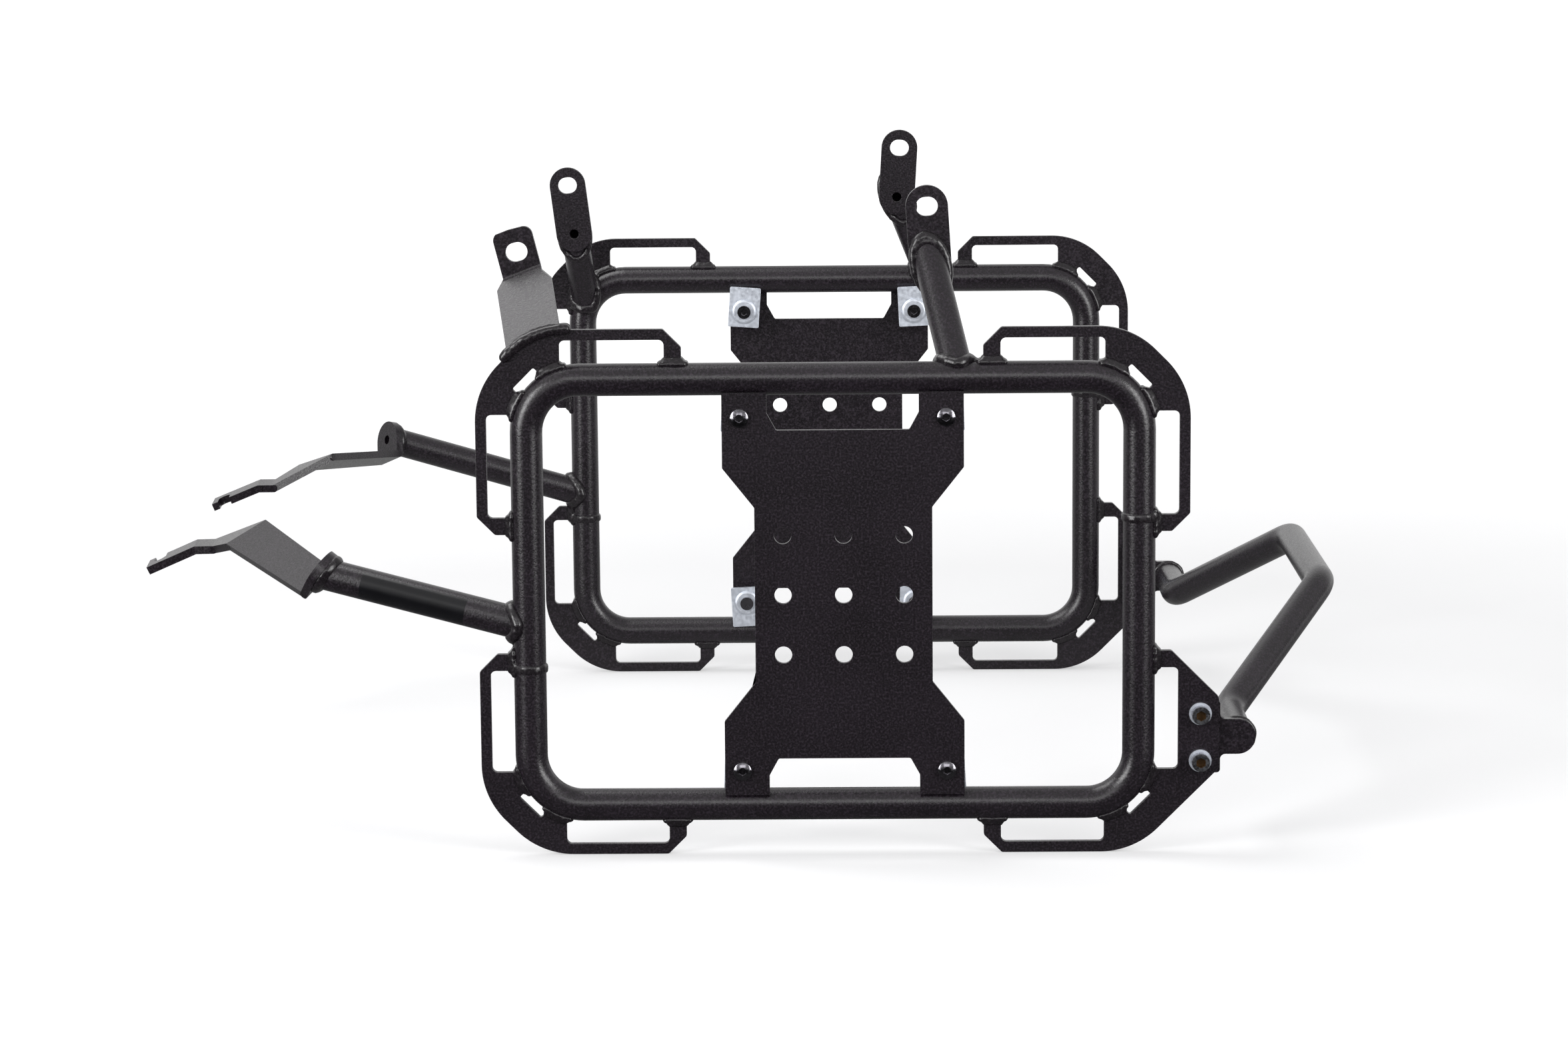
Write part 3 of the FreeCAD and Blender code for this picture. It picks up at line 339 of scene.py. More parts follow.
class Workshop:
    """The finishes, made once each, and the operations that every class shares."""

    merge_mm = 0.003
    flat_degrees = 0.6
    smooth_degrees = 40.0

    def __init__(self) -> None:
        """Builds every finish."""
        self.coat = PowderCoat().build()
        self.weld_coat = PowderCoat(name="weld_powder_coat", low="#0e0b0e", high="#221d22",
                                    grain_mm=1.5, roughness=0.27, bump_mm=0.06).build()
        self.zinc = ZincPlate().build()
        self.black = OiledSteel().build()
        self.bare = OiledSteel(name="oiled_bare_steel", low="#7c7c82", high="#c4c5cb",
                               roughness=0.26).build()
        self.socket = OiledSteel(name="oiled_socket", low="#3a2916", high="#6e5230",
                                 roughness=0.42, metallic=0.6).build()
        self.film = LabelFilm().build()

    @staticmethod
    def deselect() -> None:
        """Leaves nothing selected or active."""
        bpy.ops.object.select_all(action="DESELECT")
        bpy.context.view_layer.objects.active = None

    @classmethod
    def select(cls, piece: bpy.types.Object) -> None:
        """Selects just this piece and makes it the active one.

        Args:
            piece: The piece that the next operator works on.
        """
        cls.deselect()
        piece.select_set(True)
        bpy.context.view_layer.objects.active = piece

    @classmethod
    def modify(cls, piece: bpy.types.Object, kind: str, **settings: object) -> None:
        """Adds one modifier and applies it.

        Args:
            piece: Mesh object.
            kind: Modifier type, such as BEVEL.
            settings: Its attributes.
        """
        cls.select(piece)
        bpy.ops.object.modifier_add(type=kind)
        modifier = piece.modifiers[-1]
        for name, value in settings.items():
            setattr(modifier, name, value)
        bpy.ops.object.modifier_apply(modifier=modifier.name)

    @classmethod
    def smooth(cls, piece: bpy.types.Object, degrees: float) -> None:
        """Shades a piece smooth, apart from edges sharper than an angle."""
        cls.select(piece)
        bpy.ops.object.shade_smooth_by_angle(angle=math.radians(degrees))

    @staticmethod
    def dress(piece: bpy.types.Object, material: bpy.types.Material) -> None:
        """Gives a piece one material all over."""
        piece.data.materials.clear()
        piece.data.materials.append(material)

    @classmethod
    def softened_copy(cls, node: bpy.types.Object, name: str, edge_mm: float,
                      material: bpy.types.Material, sharp: float = 50.0) -> bpy.types.Object:
        """Copies a plain solid, merges its triangles into faces and breaks its sharp edges.

        Args:
            node: Solid of the frame.
            name: Name of the copy.
            edge_mm: Width of the broken edge.
            material: Finish of the copy.
            sharp: Edges that turn by more than this are broken, in degrees.

        Returns:
            The copy, which stands for the node.
        """
        piece = bpy.data.objects.new(name, node.data.copy())
        bpy.context.scene.collection.objects.link(piece)
        cls.dress(piece, material)
        cls.select(piece)
        bpy.ops.object.mode_set(mode="EDIT")
        bpy.ops.mesh.select_all(action="SELECT")
        bpy.ops.mesh.customdata_custom_splitnormals_clear()
        bpy.ops.mesh.remove_doubles(threshold=cls.merge_mm * MM)
        bpy.ops.mesh.dissolve_limited(angle_limit=math.radians(cls.flat_degrees))
        bpy.ops.object.mode_set(mode="OBJECT")
        cls.modify(piece, "BEVEL", width=edge_mm * MM, segments=2, limit_method="ANGLE",
                   angle_limit=math.radians(sharp), use_clamp_overlap=True, profile=0.6)
        cls.smooth(piece, cls.smooth_degrees)
        cls.modify(piece, "WEIGHTED_NORMAL", mode="FACE_AREA", weight=80, keep_sharp=True)
        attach(piece, "root")
        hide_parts(node.name)
        return piece


@dataclass
class LoopTube:
    """Centreline of the bent tube loop of a rack, in millimetres of the rack frame."""

    half_length: float = 169.0
    height: float = 239.0
    bend: float = 29.0
    radius: float = 9.0
    seam_offset: float = 78.0

    def distance(self, point: Vector) -> float:
        """Measures a point's distance from the loop's centreline.

        Args:
            point: The point, in millimetres of the rack frame.

        Returns:
            The distance, in millimetres.
        """
        half_height = self.height / 2
        x = abs(point.x) - (self.half_length - self.bend)
        z = abs(point.z - half_height) - (half_height - self.bend)
        flat = math.hypot(max(x, 0.0), max(z, 0.0)) + min(max(x, z), 0.0) - self.bend
        return math.hypot(flat, point.y)


@dataclass
class RackPlace:
    """Carries points of a rack's own frame, in millimetres, to the row frame, in metres."""

    side: Side
    forward_shift: float = 51.5453
    half_spacing: float = 267.0
    lift: float = 28.0

    def row(self, point: Vector) -> Vector:
        """Carries a point to the row frame.

        Args:
            point: Length, inward distance and height, in millimetres of the rack frame.

        Returns:
            The point, in metres of the row frame.
        """
        if self.side is Side.LEFT:
            y = -self.half_spacing + point.y
        else:
            y = self.half_spacing - point.y
        return Vector((point.x + self.forward_shift, y, point.z + self.lift)) * MM

    def turn(self, direction: Vector) -> Vector:
        """Row frame direction of a direction in the rack's own frame."""
        y = direction.y if self.side is Side.LEFT else -direction.y
        return Vector((direction.x, y, direction.z))


@dataclass
class ArmAxis:
    """A tube arm: where it leaves the loop, where it ends and the face it ends on."""

    base: Vector
    tip: Vector
    normal: Vector
    plate_face: float | None = None
    search_start: float = 45.0
    search_step: float = 0.2
    search_count: int = 290

    def along(self) -> Vector:
        """Direction from the loop to the tip."""
        return (self.tip - self.base).normalized()

    def rim(self, turn: float, radius: float) -> Vector:
        """Finds the offset of one generator line of the tube from its axis.

        Args:
            turn: Which generator line, as an angle round the arm.
            radius: Distance of the line from the axis.

        Returns:
            The offset.
        """
        along = self.along()
        first = along.cross(Vector((0.0, 0.0, 1.0))).normalized()
        second = along.cross(first)
        return (first * math.cos(turn) + second * math.sin(turn)) * radius

    def foot(self, turn: float, loop: LoopTube, standoff: float = 0.9) -> Vector:
        """Follows one generator line down to the loop, or to the plate below it.

        Args:
            turn: Which generator line, as an angle round the arm.
            loop: The loop that the arm leaves.
            standoff: How far from the loop's skin the line stops.

        Returns:
            The place, or the nearest one where the line passes the loop by.
        """
        start = self.base + self.rim(turn, loop.radius)
        along = self.along()
        best, nearest = start, math.inf
        for step in range(self.search_count):
            point = start + along * (self.search_start - self.search_step * step)
            gap = loop.distance(point)
            if gap < nearest:
                best, nearest = point, gap
            buried = self.plate_face is not None and point.y < self.plate_face
            if buried or gap < loop.radius + standoff:
                return point
        return best

    def end(self, turn: float, radius: float) -> Vector:
        """Follows one generator line up to the face at the tip.

        Args:
            turn: Which generator line, as an angle round the arm.
            radius: Distance of the line from the axis.

        Returns:
            The place where the line meets the face.
        """
        start = self.base + self.rim(turn, radius)
        along = self.along()
        return start + along * ((self.tip - start).dot(self.normal) / along.dot(self.normal))


@dataclass
class WeldRun:
    """One run of weld metal: a path and the half width of its ripples, in millimetres."""

    path: list[Vector]
    closed: bool
    half_width: float = 2.3

    def stations(self, step: float) -> list[tuple[Vector, Vector]]:
        """Evenly spaced places along the run.

        Args:
            step: Distance between places, in millimetres.

        Returns:
            Place and direction pairs.
        """
        points = self.path + ([self.path[0]] if self.closed else [])
        found: list[tuple[Vector, Vector]] = []
        carried = 0.0
        for first, second in zip(points, points[1:]):
            span = (second - first).length
            if span < 1e-6:
                continue
            direction = (second - first) / span
            while carried <= span:
                found.append((first + direction * carried, direction))
                carried += step
            carried -= span
        return found


@dataclass
class WeldMetal:
    """All the weld metal of one rack or of the cross tube, laid as overlapping ripples."""

    shop: Workshop
    step: float = 1.7
    ripple_length: float = 0.90
    least_width: float = 0.96
    most_width: float = 1.14
    wander: float = 0.12
    voxel: float = 0.64
    smoothings: int = 16
    seed: int = 11
    runs: list[tuple[RackPlace, WeldRun]] = field(default_factory=list)

    def add(self, place: RackPlace, run: WeldRun) -> None:
        """Queues one run of weld."""
        self.runs.append((place, run))

    def ripple(self) -> bpy.types.Object:
        """Models the one ripple that every bead repeats: a low rounded pad.

        Returns:
            The pad, one unit in half width.
        """
        self.shop.deselect()
        bpy.ops.mesh.primitive_uv_sphere_add(segments=12, ring_count=8, radius=1.0)
        pad = bpy.context.active_object
        bpy.ops.object.mode_set(mode="EDIT")
        bpy.ops.mesh.select_all(action="SELECT")
        bpy.ops.transform.resize(value=(self.ripple_length, 1.0, 1.0))
        bpy.ops.object.mode_set(mode="OBJECT")
        return pad

    def build(self, name: str, *replaced: str) -> bpy.types.Object:
        """Lays every queued run and melts the ripples into one skin.

        Args:
            name: Name of the piece.
            replaced: Solids of the frame that it stands for.

        Returns:
            The finished piece.
        """
        chance = random.Random(self.seed)
        pad = self.ripple()
        source = pad.data
        mesh = bmesh.new()
        for place, run in self.runs:
            for point, direction in run.stations(self.step):
                across = place.turn(direction).to_track_quat("X", "Z").to_matrix().to_4x4()
                width = run.half_width * chance.uniform(self.least_width, self.most_width)
                jitter = Vector([chance.uniform(-self.wander, self.wander) for _ in range(3)])
                size = Matrix.Diagonal((width * MM, width * MM, width * MM, 1.0))
                spot = Matrix.Translation(place.row(point + jitter))
                copy = source.copy()
                copy.transform(spot @ across @ size)
                mesh.from_mesh(copy)
                bpy.data.meshes.remove(copy)
        mesh.to_mesh(source)
        mesh.free()
        pad.name = name
        self.shop.modify(pad, "REMESH", mode="VOXEL", voxel_size=self.voxel * MM)
        self.shop.modify(pad, "SMOOTH", factor=0.5, iterations=self.smoothings)
        self.shop.smooth(pad, 180.0)
        self.shop.dress(pad, self.shop.weld_coat)
        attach(pad, "root")
        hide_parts(*replaced)
        LOG.info("%s: %d runs, %d faces", name, len(self.runs), len(pad.data.polygons))
        return pad


@dataclass(frozen=True)
class ArmPlaces:
    """Where the tube arms of one rack start and end, in millimetres of the rack frame."""

    peg_root: float
    peg_tip: tuple[float, float, float]
    lug_normal: tuple[float, float, float]
    heel: tuple[float, float, float]
    rear_root: float
    rear_hole: float
    rear_tilt: float


@dataclass(frozen=True)
class Corner:
    """One corner of a loop: -1 for the front or the bottom, 1 for the rear or the top."""

    side_x: int
    side_z: int


@dataclass(frozen=True)
class FootPass:
    """One pass of ripples at a plate's foot: its height, its spread and its half width."""

    lap: float
    spread: float
    half_width: float


@dataclass(frozen=True)
class RingPass:
    """One ring round an arm: its distance along it and off its skin, and its half width."""

    shift: float
    outset: float
    half_width: float


ARM_PLACES = {
    Side.LEFT: ArmPlaces(peg_root=101.5, peg_tip=(-285.0, 25.0, 127.4),
                         lug_normal=(-0.78, 0.16, 0.60), heel=(0.52, 0.70, 0.49),
                         rear_root=69.5, rear_hole=53.1, rear_tilt=-3.5),
    Side.RIGHT: ArmPlaces(peg_root=94.0, peg_tip=(-296.1, 25.0, 134.9),
                          lug_normal=(-0.80, 0.57, 0.20), heel=(0.60, 0.73, 0.33),
                          rear_root=64.0, rear_hole=43.7, rear_tilt=3.4)}
CORNERS = [Corner(side_x, side_z) for side_x in (-1, 1) for side_z in (-1, 1)]
FOOT_PASSES = (FootPass(0.5, 0.0, 2.3), FootPass(-0.2, 2.4, 1.7), FootPass(2.4, -0.2, 1.5))
ARM_FOOT_RINGS = (RingPass(0.0, 0.0, 3.1), RingPass(2.4, 0.0, 1.7))
ARM_END_RINGS = (RingPass(-1.2, 0.5, 2.4), RingPass(-0.2, 1.3, 1.5), RingPass(-3.4, -0.1, 1.5))


@dataclass
class Rack:
    """One side rack: its softened plates, its welds and its screws."""

    side: Side
    shop: Workshop
    nodes: dict[str, bpy.types.Object]
    loop: LoopTube = field(default_factory=LoopTube)
    plate_half: float = 2.0
    slot_start: float = 19.0
    slot_end: float = 76.5
    strip_end: float = 86.0
    window_half: float = 8.25
    window_turn: float = 45.0
    edge_mm: float = 0.45
    foot_gap: float = 0.4
    foot_spread_share: float = 0.6
    web_shares: tuple[float, ...] = (0.0, 0.34, 0.67, 1.0)
    tab_drop: float = 32.4
    rear_hole_z: float = 329.6
    rear_tab_face: float = 41.0
    front_root_turn: float = 25.0
    front_hole_x: float = -175.3
    front_hole_z: float = 306.2
    front_tab_face: float = 37.5
    front_tilt: float = -7.0
    seam_sink: float = 0.7
    seam_half: float = 1.0
    seam_half_width: float = 1.9
    bracket_middle: tuple[float, float, float] = (-23.14, 0.0, -17.0)
    bracket_reach: float = 45.6
    bracket_arc: int = 45
    bracket_overrun: float = 2.5
    bracket_faces: tuple[float, float] = (-3.2, 2.2)
    bracket_half_width: float = 3.1
    screw_x: float = 203.2
    screw_z: float = 37.0
    screw_rise: float = 13.3
    socket_reach: float = 3.1
    lug_face: float = -5.0

    def node(self, name: str) -> bpy.types.Object:
        """The frame's solid of this rack with that name."""
        return self.nodes[f"{self.side.value}_{name}"]

    def vent(self, hole_x: float, hole_z: float, tilt: float, face: float) -> Vector:
        """Finds the middle of a tab's round foot, on the face that its arm is welded to.

        Args:
            hole_x: Length place of the tab's hole.
            hole_z: Height of the tab's hole.
            tilt: Lean of the tab, in degrees.
            face: Inward distance of the welded face.

        Returns:
            The place, in the rack frame.
        """
        angle = math.radians(tilt)
        return Vector((hole_x - self.tab_drop * math.sin(angle), face,
                       hole_z - self.tab_drop * math.cos(angle)))

    def arms(self) -> list[ArmAxis]:
        """Places every tube arm of this rack.

        Returns:
            The upper rear arm, the lower front arm and, on the right, the upper front arm.
        """
        places = ARM_PLACES[self.side]
        inward = Vector((0.0, 1.0, 0.0))
        tip = self.vent(places.rear_hole, self.rear_hole_z, places.rear_tilt, self.rear_tab_face)
        base = Vector((places.rear_root, 0.0, self.loop.height))
        found = [ArmAxis(base, tip, inward)]
        heel = Vector(places.heel).normalized()
        normal = Vector(places.lug_normal)
        normal = (normal - heel * normal.dot(heel)).normalized()
        base = Vector((-self.loop.half_length, 0.0, places.peg_root))
        found.append(ArmAxis(base, Vector(places.peg_tip), normal))
        if self.side is Side.RIGHT:
            turn = math.radians(self.front_root_turn)
            reach = Vector((-math.cos(turn), 0.0, math.sin(turn))) * self.loop.bend
            middle = Vector((-self.loop.half_length + self.loop.bend, 0.0,
                             self.loop.height - self.loop.bend))
            tip = self.vent(self.front_hole_x, self.front_hole_z, self.front_tilt,
                            self.front_tab_face)
            found.append(ArmAxis(middle + reach, tip, inward, self.plate_half))
        return found

    def at(self, corner: Corner, x: float, z: float, y: float) -> Vector:
        """Turns a corner's own coordinates into the rack frame's.

        Args:
            corner: The corner.
            x: Distance out from the end upright's centreline.
            z: Distance out from the level tube's centreline.
            y: Inward distance.

        Returns:
            The place, in the rack frame.
        """
        base_z = self.loop.height if corner.side_z > 0 else 0.0
        return Vector((corner.side_x * (self.loop.half_length + x), y,
                       base_z + corner.side_z * z))

    def foot_place(self, weld: FootPass) -> tuple[float, float]:
        """Finds how far a pass at a plate's foot lies from the tube and from the plate.

        Args:
            weld: The pass.

        Returns:
            Height over the tube's centreline, and distance from the plate's middle plane.
        """
        top = math.sqrt(self.loop.radius ** 2 - self.plate_half ** 2) + weld.lap
        return top, self.plate_half + self.foot_gap + weld.spread * self.foot_spread_share

    def strip_run(self, corner: Corner, weld: FootPass, flat: bool) -> WeldRun:
        """Lays the weld round the foot at the end of one strip.

        Args:
            corner: The plate's corner.
            weld: The pass.
            flat: Whether the strip stands on the level tube.

        Returns:
            The run.
        """
        top, half = self.foot_place(weld)
        outer, inner = -self.strip_end - weld.spread, -self.slot_end + weld.spread
        ends = []
        for along, y in ((outer, half), (inner, half), (inner, -half), (outer, -half)):
            x, z = (along, top) if flat else (top, along)
            ends.append(self.at(corner, x, z, y))
        return WeldRun(ends, True, weld.half_width)

    def web_run(self, corner: Corner, weld: FootPass, flat: bool) -> WeldRun:
        """Lays the weld round the foot of the web between a slot and the window.

        Args:
            corner: The plate's corner.
            weld: The pass.
            flat: Whether the web stands on the level side of the bend.

        Returns:
            The run.
        """
        top, half = self.foot_place(weld)
        bend = self.loop.bend
        outer = bend + top
        rim = bend + self.loop.radius
        start = math.asin((bend - self.slot_start) / rim) - weld.spread / outer
        stop = math.radians(self.window_turn) - math.asin(self.window_half / rim)
        stop += weld.spread / outer
        web = []
        for y, shares in ((half, self.web_shares), (-half, self.web_shares[::-1])):
            for share in shares:
                angle = start + (stop - start) * share
                across = -bend + outer * math.sin(angle)
                up = -bend + outer * math.cos(angle)
                x, z = (across, up) if flat else (up, across)
                web.append(self.at(corner, x, z, y))
        return WeldRun(web, True, weld.half_width)

    def foot_runs(self) -> list[WeldRun]:
        """Lays the welds at the feet of every corner plate: both strip ends and both webs.

        Returns:
            The runs.
        """
        runs = []
        for corner in CORNERS:
            for weld in FOOT_PASSES:
                for flat in (True, False):
                    runs.append(self.strip_run(corner, weld, flat))
                    runs.append(self.web_run(corner, weld, flat))
        return runs

    def arm_runs(self) -> list[WeldRun]:
        """Lays the welds round every arm: two rings at its foot and three at its end.

        Returns:
            The runs.
        """
        runs = []
        skin = self.loop.radius
        for arm in self.arms():
            along = arm.along()
            for ring in ARM_FOOT_RINGS:
                path = [arm.foot(turn, self.loop) + along * ring.shift for turn in turns(32)]
                runs.append(WeldRun(path, True, ring.half_width))
            for ring in ARM_END_RINGS:
                path = [arm.end(turn, skin + ring.outset) + along * ring.shift
                        for turn in turns(32)]
                runs.append(WeldRun(path, True, ring.half_width))
        return runs

    def seam_runs(self) -> list[WeldRun]:
        """Lays the butt welds round the loop tube, where its two halves meet.

        Returns:
            The runs, two rings to a seam.
        """
        runs = []
        places = ((-self.loop.half_length, self.loop.seam_offset),
                  (self.loop.half_length, self.loop.height - self.loop.seam_offset))
        reach = self.loop.radius - self.seam_sink
        for x, z in places:
            for level in (z - self.seam_half, z + self.seam_half):
                ring = [Vector((x + reach * math.cos(turn), reach * math.sin(turn), level))
                        for turn in turns(24)]
                runs.append(WeldRun(ring, True, self.seam_half_width))
        return runs

    def bracket_runs(self) -> list[WeldRun]:
        """Lays the weld under the left bracket's foot, along the rim of its corner plate.

        Returns:
            The runs, one on each face of the plate.
        """
        middle = Vector(self.bracket_middle)
        front = []
        for degrees in range(0, self.bracket_arc + 1, 5):
            turn = math.radians(degrees)
            front.append((middle.x + self.bracket_reach * math.sin(turn),
                          middle.z + self.bracket_reach * math.cos(turn)))
        front.append((front[-1][0] + self.bracket_overrun, front[-1][1] - self.bracket_overrun))
        top_front = Corner(-1, 1)
        return [WeldRun([self.at(top_front, x, z, y) for x, z in front], False,
                        self.bracket_half_width) for y in self.bracket_faces]

    def lay_welds(self) -> bpy.types.Object:
        """Lays all the welds of this rack.

        Returns:
            The weld metal, in one piece.
        """
        place = RackPlace(self.side)
        metal = WeldMetal(self.shop, seed=11 if self.side is Side.LEFT else 23)
        runs = self.arm_runs() + self.foot_runs() + self.seam_runs()
        if self.side is Side.LEFT:
            runs += self.bracket_runs()
        for run in runs:
            metal.add(place, run)
        return metal.build(f"{self.side.value}_weld_metal", f"{self.side.value}_weld_beads")

    def plates(self) -> None:
        """Softens the edges of every cut and bent plate, and coats them."""
        names = [f"{level}_{end}_corner_plate" for level in ("top", "bottom")
                 for end in ("front", "rear")]
        names += ["upper_rear_tab", "footpeg_strap", "accessory_plate", "brace_lug"]
        names.append("upper_front_bracket" if self.side is Side.LEFT else "upper_front_tab")
        for name in names:
            node = self.node(name)
            piece = self.shop.softened_copy(node, f"{node.name}_coated", self.edge_mm,
                                            self.shop.coat)
        LOG.info("%s plates: %d", self.side.value, len(names))

    def tubes(self) -> None:
        """Coats the tubes, whose solids already have the right shape."""
        names = ["loop_upper", "loop_lower", "upper_rear_arm", "lower_front_arm"]
        if self.side is Side.RIGHT:
            names.append("upper_front_arm")
        for name in names:
            self.shop.dress(self.node(name), self.shop.coat)

    def fasteners(self) -> None:
        """Dresses the clamps, washers, nuts and screws."""
        finishes = {"clamp_plates": (self.shop.zinc, Slot.ZINC, 0.3),
                    "clamp_washers": (self.shop.zinc, Slot.ZINC, 0.25),
                    "brace_washers": (self.shop.zinc, Slot.ZINC, 0.25),
                    "brace_nuts": (self.shop.zinc, Slot.ZINC, 0.35),
                    "clamp_nuts": (self.shop.black, Slot.BLACK, 0.3),
                    "plate_screws": (self.shop.black, Slot.BLACK, 0.3),
                    "brace_screws": (self.shop.bare, Slot.BLACK, 0.5)}
        for name, (material, slot, edge) in finishes.items():
            node = self.node(name)
            piece = self.shop.softened_copy(node, f"{node.name}_finished", edge, material)
            if name == "brace_screws":
                self.line_sockets(piece)

    def line_sockets(self, piece: bpy.types.Object) -> None:
        """Gives the hex sockets of the cap screws their old oil colour.

        Args:
            piece: The rack's cap screws.
        """
        place = RackPlace(self.side)
        piece.data.materials.append(self.shop.socket)
        corners = piece.data.vertices
        middles = [place.row(Vector((self.screw_x, 0.0, self.screw_z + rise)))
                   for rise in (-self.screw_rise, self.screw_rise)]
        outward = -1.0 if self.side is Side.LEFT else 1.0
        for face in piece.data.polygons:
            inward = place.half_spacing - outward * face.center.y / MM
            for middle in middles:
                reach = max(math.hypot(corners[i].co.x - middle.x, corners[i].co.z - middle.z)
                            for i in face.vertices)
                if reach < self.socket_reach * MM and inward < self.lug_face:
                    face.material_index = 1

    def build(self) -> None:
        """Builds and dresses the whole rack."""
        self.tubes()
        self.plates()
        self.fasteners()
        self.lay_welds()


@dataclass
class BlankLabel:
    """Blank film label wrapped part way round the left lower arm."""

    shop: Workshop
    rack: Rack
    start: float = 36.0
    length: float = 62.0
    half_turn: float = 52.0
    corner_share: float = 0.04
    strips: int = 20
    clearance: float = 0.02
    thickness: float = 0.25

    def build(self) -> bpy.types.Object:
        """Rolls a rounded flat sheet round the tube.

        Returns:
            The finished label.
        """
        place = RackPlace(self.rack.side)
        arm = self.rack.arms()[1]
        along = arm.along()
        outward = Vector((0.0, -1.0, 0.0))
        outward = (outward - along * outward.dot(along)).normalized()
        across = along.cross(outward)
        self.shop.deselect()
        bpy.ops.mesh.primitive_plane_add(size=1.0)
        label = bpy.context.active_object
        label.name = "blank_label"
        bpy.ops.object.mode_set(mode="EDIT")
        bpy.ops.mesh.select_all(action="SELECT")
        bpy.ops.mesh.bevel(offset=self.corner_share, segments=4, affect="VERTICES")
        for i in range(1, self.strips):
            bpy.ops.mesh.select_all(action="SELECT")
            bpy.ops.mesh.bisect(plane_co=(0.0, i / self.strips - 0.5, 0.0),
                                plane_no=(0.0, 1.0, 0.0))
        bpy.ops.object.mode_set(mode="OBJECT")
        radius = self.rack.loop.radius + self.clearance
        for corner in label.data.vertices:
            turn = math.radians(2 * self.half_turn * corner.co.y)
            reach = self.start + self.length * (corner.co.x + 0.5)
            spot = outward * math.cos(turn) + across * math.sin(turn)
            corner.co = place.row(arm.base + along * reach + spot * radius)
        self.shop.modify(label, "SOLIDIFY", thickness=self.thickness * MM, offset=1.0)
        self.shop.select(label)
        bpy.ops.object.mode_set(mode="EDIT")
        bpy.ops.mesh.select_all(action="SELECT")
        bpy.ops.mesh.normals_make_consistent(inside=False)
        bpy.ops.object.mode_set(mode="OBJECT")
        self.shop.smooth(label, self.shop.smooth_degrees)
        self.shop.dress(label, self.shop.film)
        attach(label, "root")
        LOG.info("blank label: %d faces", len(label.data.polygons))
        return label


@dataclass
class CrossBrace:
    """The bent tube behind the wheel and the welds that hold it to its end lugs."""

    shop: Workshop
    nodes: dict[str, bpy.types.Object]
    lug_x: float = 224.5
    lug_z: float = 36.3
    lug_back: float = 7.0
    radius: float = 9.0
    weld_outset: float = 0.2
    weld_lift: float = 0.7
    weld_half_width: float = 1.9

    def build(self) -> None:
        """Coats the tube and lays its two ring welds."""
        self.shop.dress(self.nodes["rear_cross_tube"], self.shop.coat)
        metal = WeldMetal(self.shop, seed=5)
        reach = self.radius + self.weld_outset
        for side in Side:
            ring = [Vector((self.lug_x + reach * math.cos(turn), self.lug_back + self.weld_lift,
                            self.lug_z + reach * math.sin(turn))) for turn in turns(32)]
            metal.add(RackPlace(side), WeldRun(ring, True, self.weld_half_width))
        metal.build("cross_tube_weld_metal", "cross_tube_weld_beads")


@dataclass(frozen=True)
class SoftBox:
    """One soft rectangular lamp: width, height, places in metres, and its power in watts."""

    name: str
    place: tuple[float, float, float]
    size: tuple[float, float]
    power: float
    aim: tuple[float, float, float] = (0.0, 0.0, 0.18)

    def build(self) -> None:
        """Hangs the lamp at its place, turned to what it lights."""
        data = bpy.data.lights.new(self.name, "AREA")
        data.shape = "RECTANGLE"
        data.size, data.size_y = self.size
        data.energy = self.power
        lamp = bpy.data.objects.new(self.name, data)
        bpy.context.scene.collection.objects.link(lamp)
        lamp.location = self.place
        way = Vector(self.aim) - Vector(self.place)
        lamp.rotation_euler = way.to_track_quat("-Z", "Y").to_euler()


SOFT_BOXES = (
    SoftBox("left_box", (-1.75, -1.65, 0.75), (0.9, 1.5), 40.0),
    SoftBox("right_box", (1.85, -1.65, 0.75), (0.9, 1.5), 34.0),
    SoftBox("top_box", (-1.00, 0.15, 1.95), (1.1, 1.6), 24.0, aim=(-0.1, 0.05, 0.18)),
    SoftBox("front_box", (0.0, -2.5, 1.1), (1.6, 0.6), 9.0))


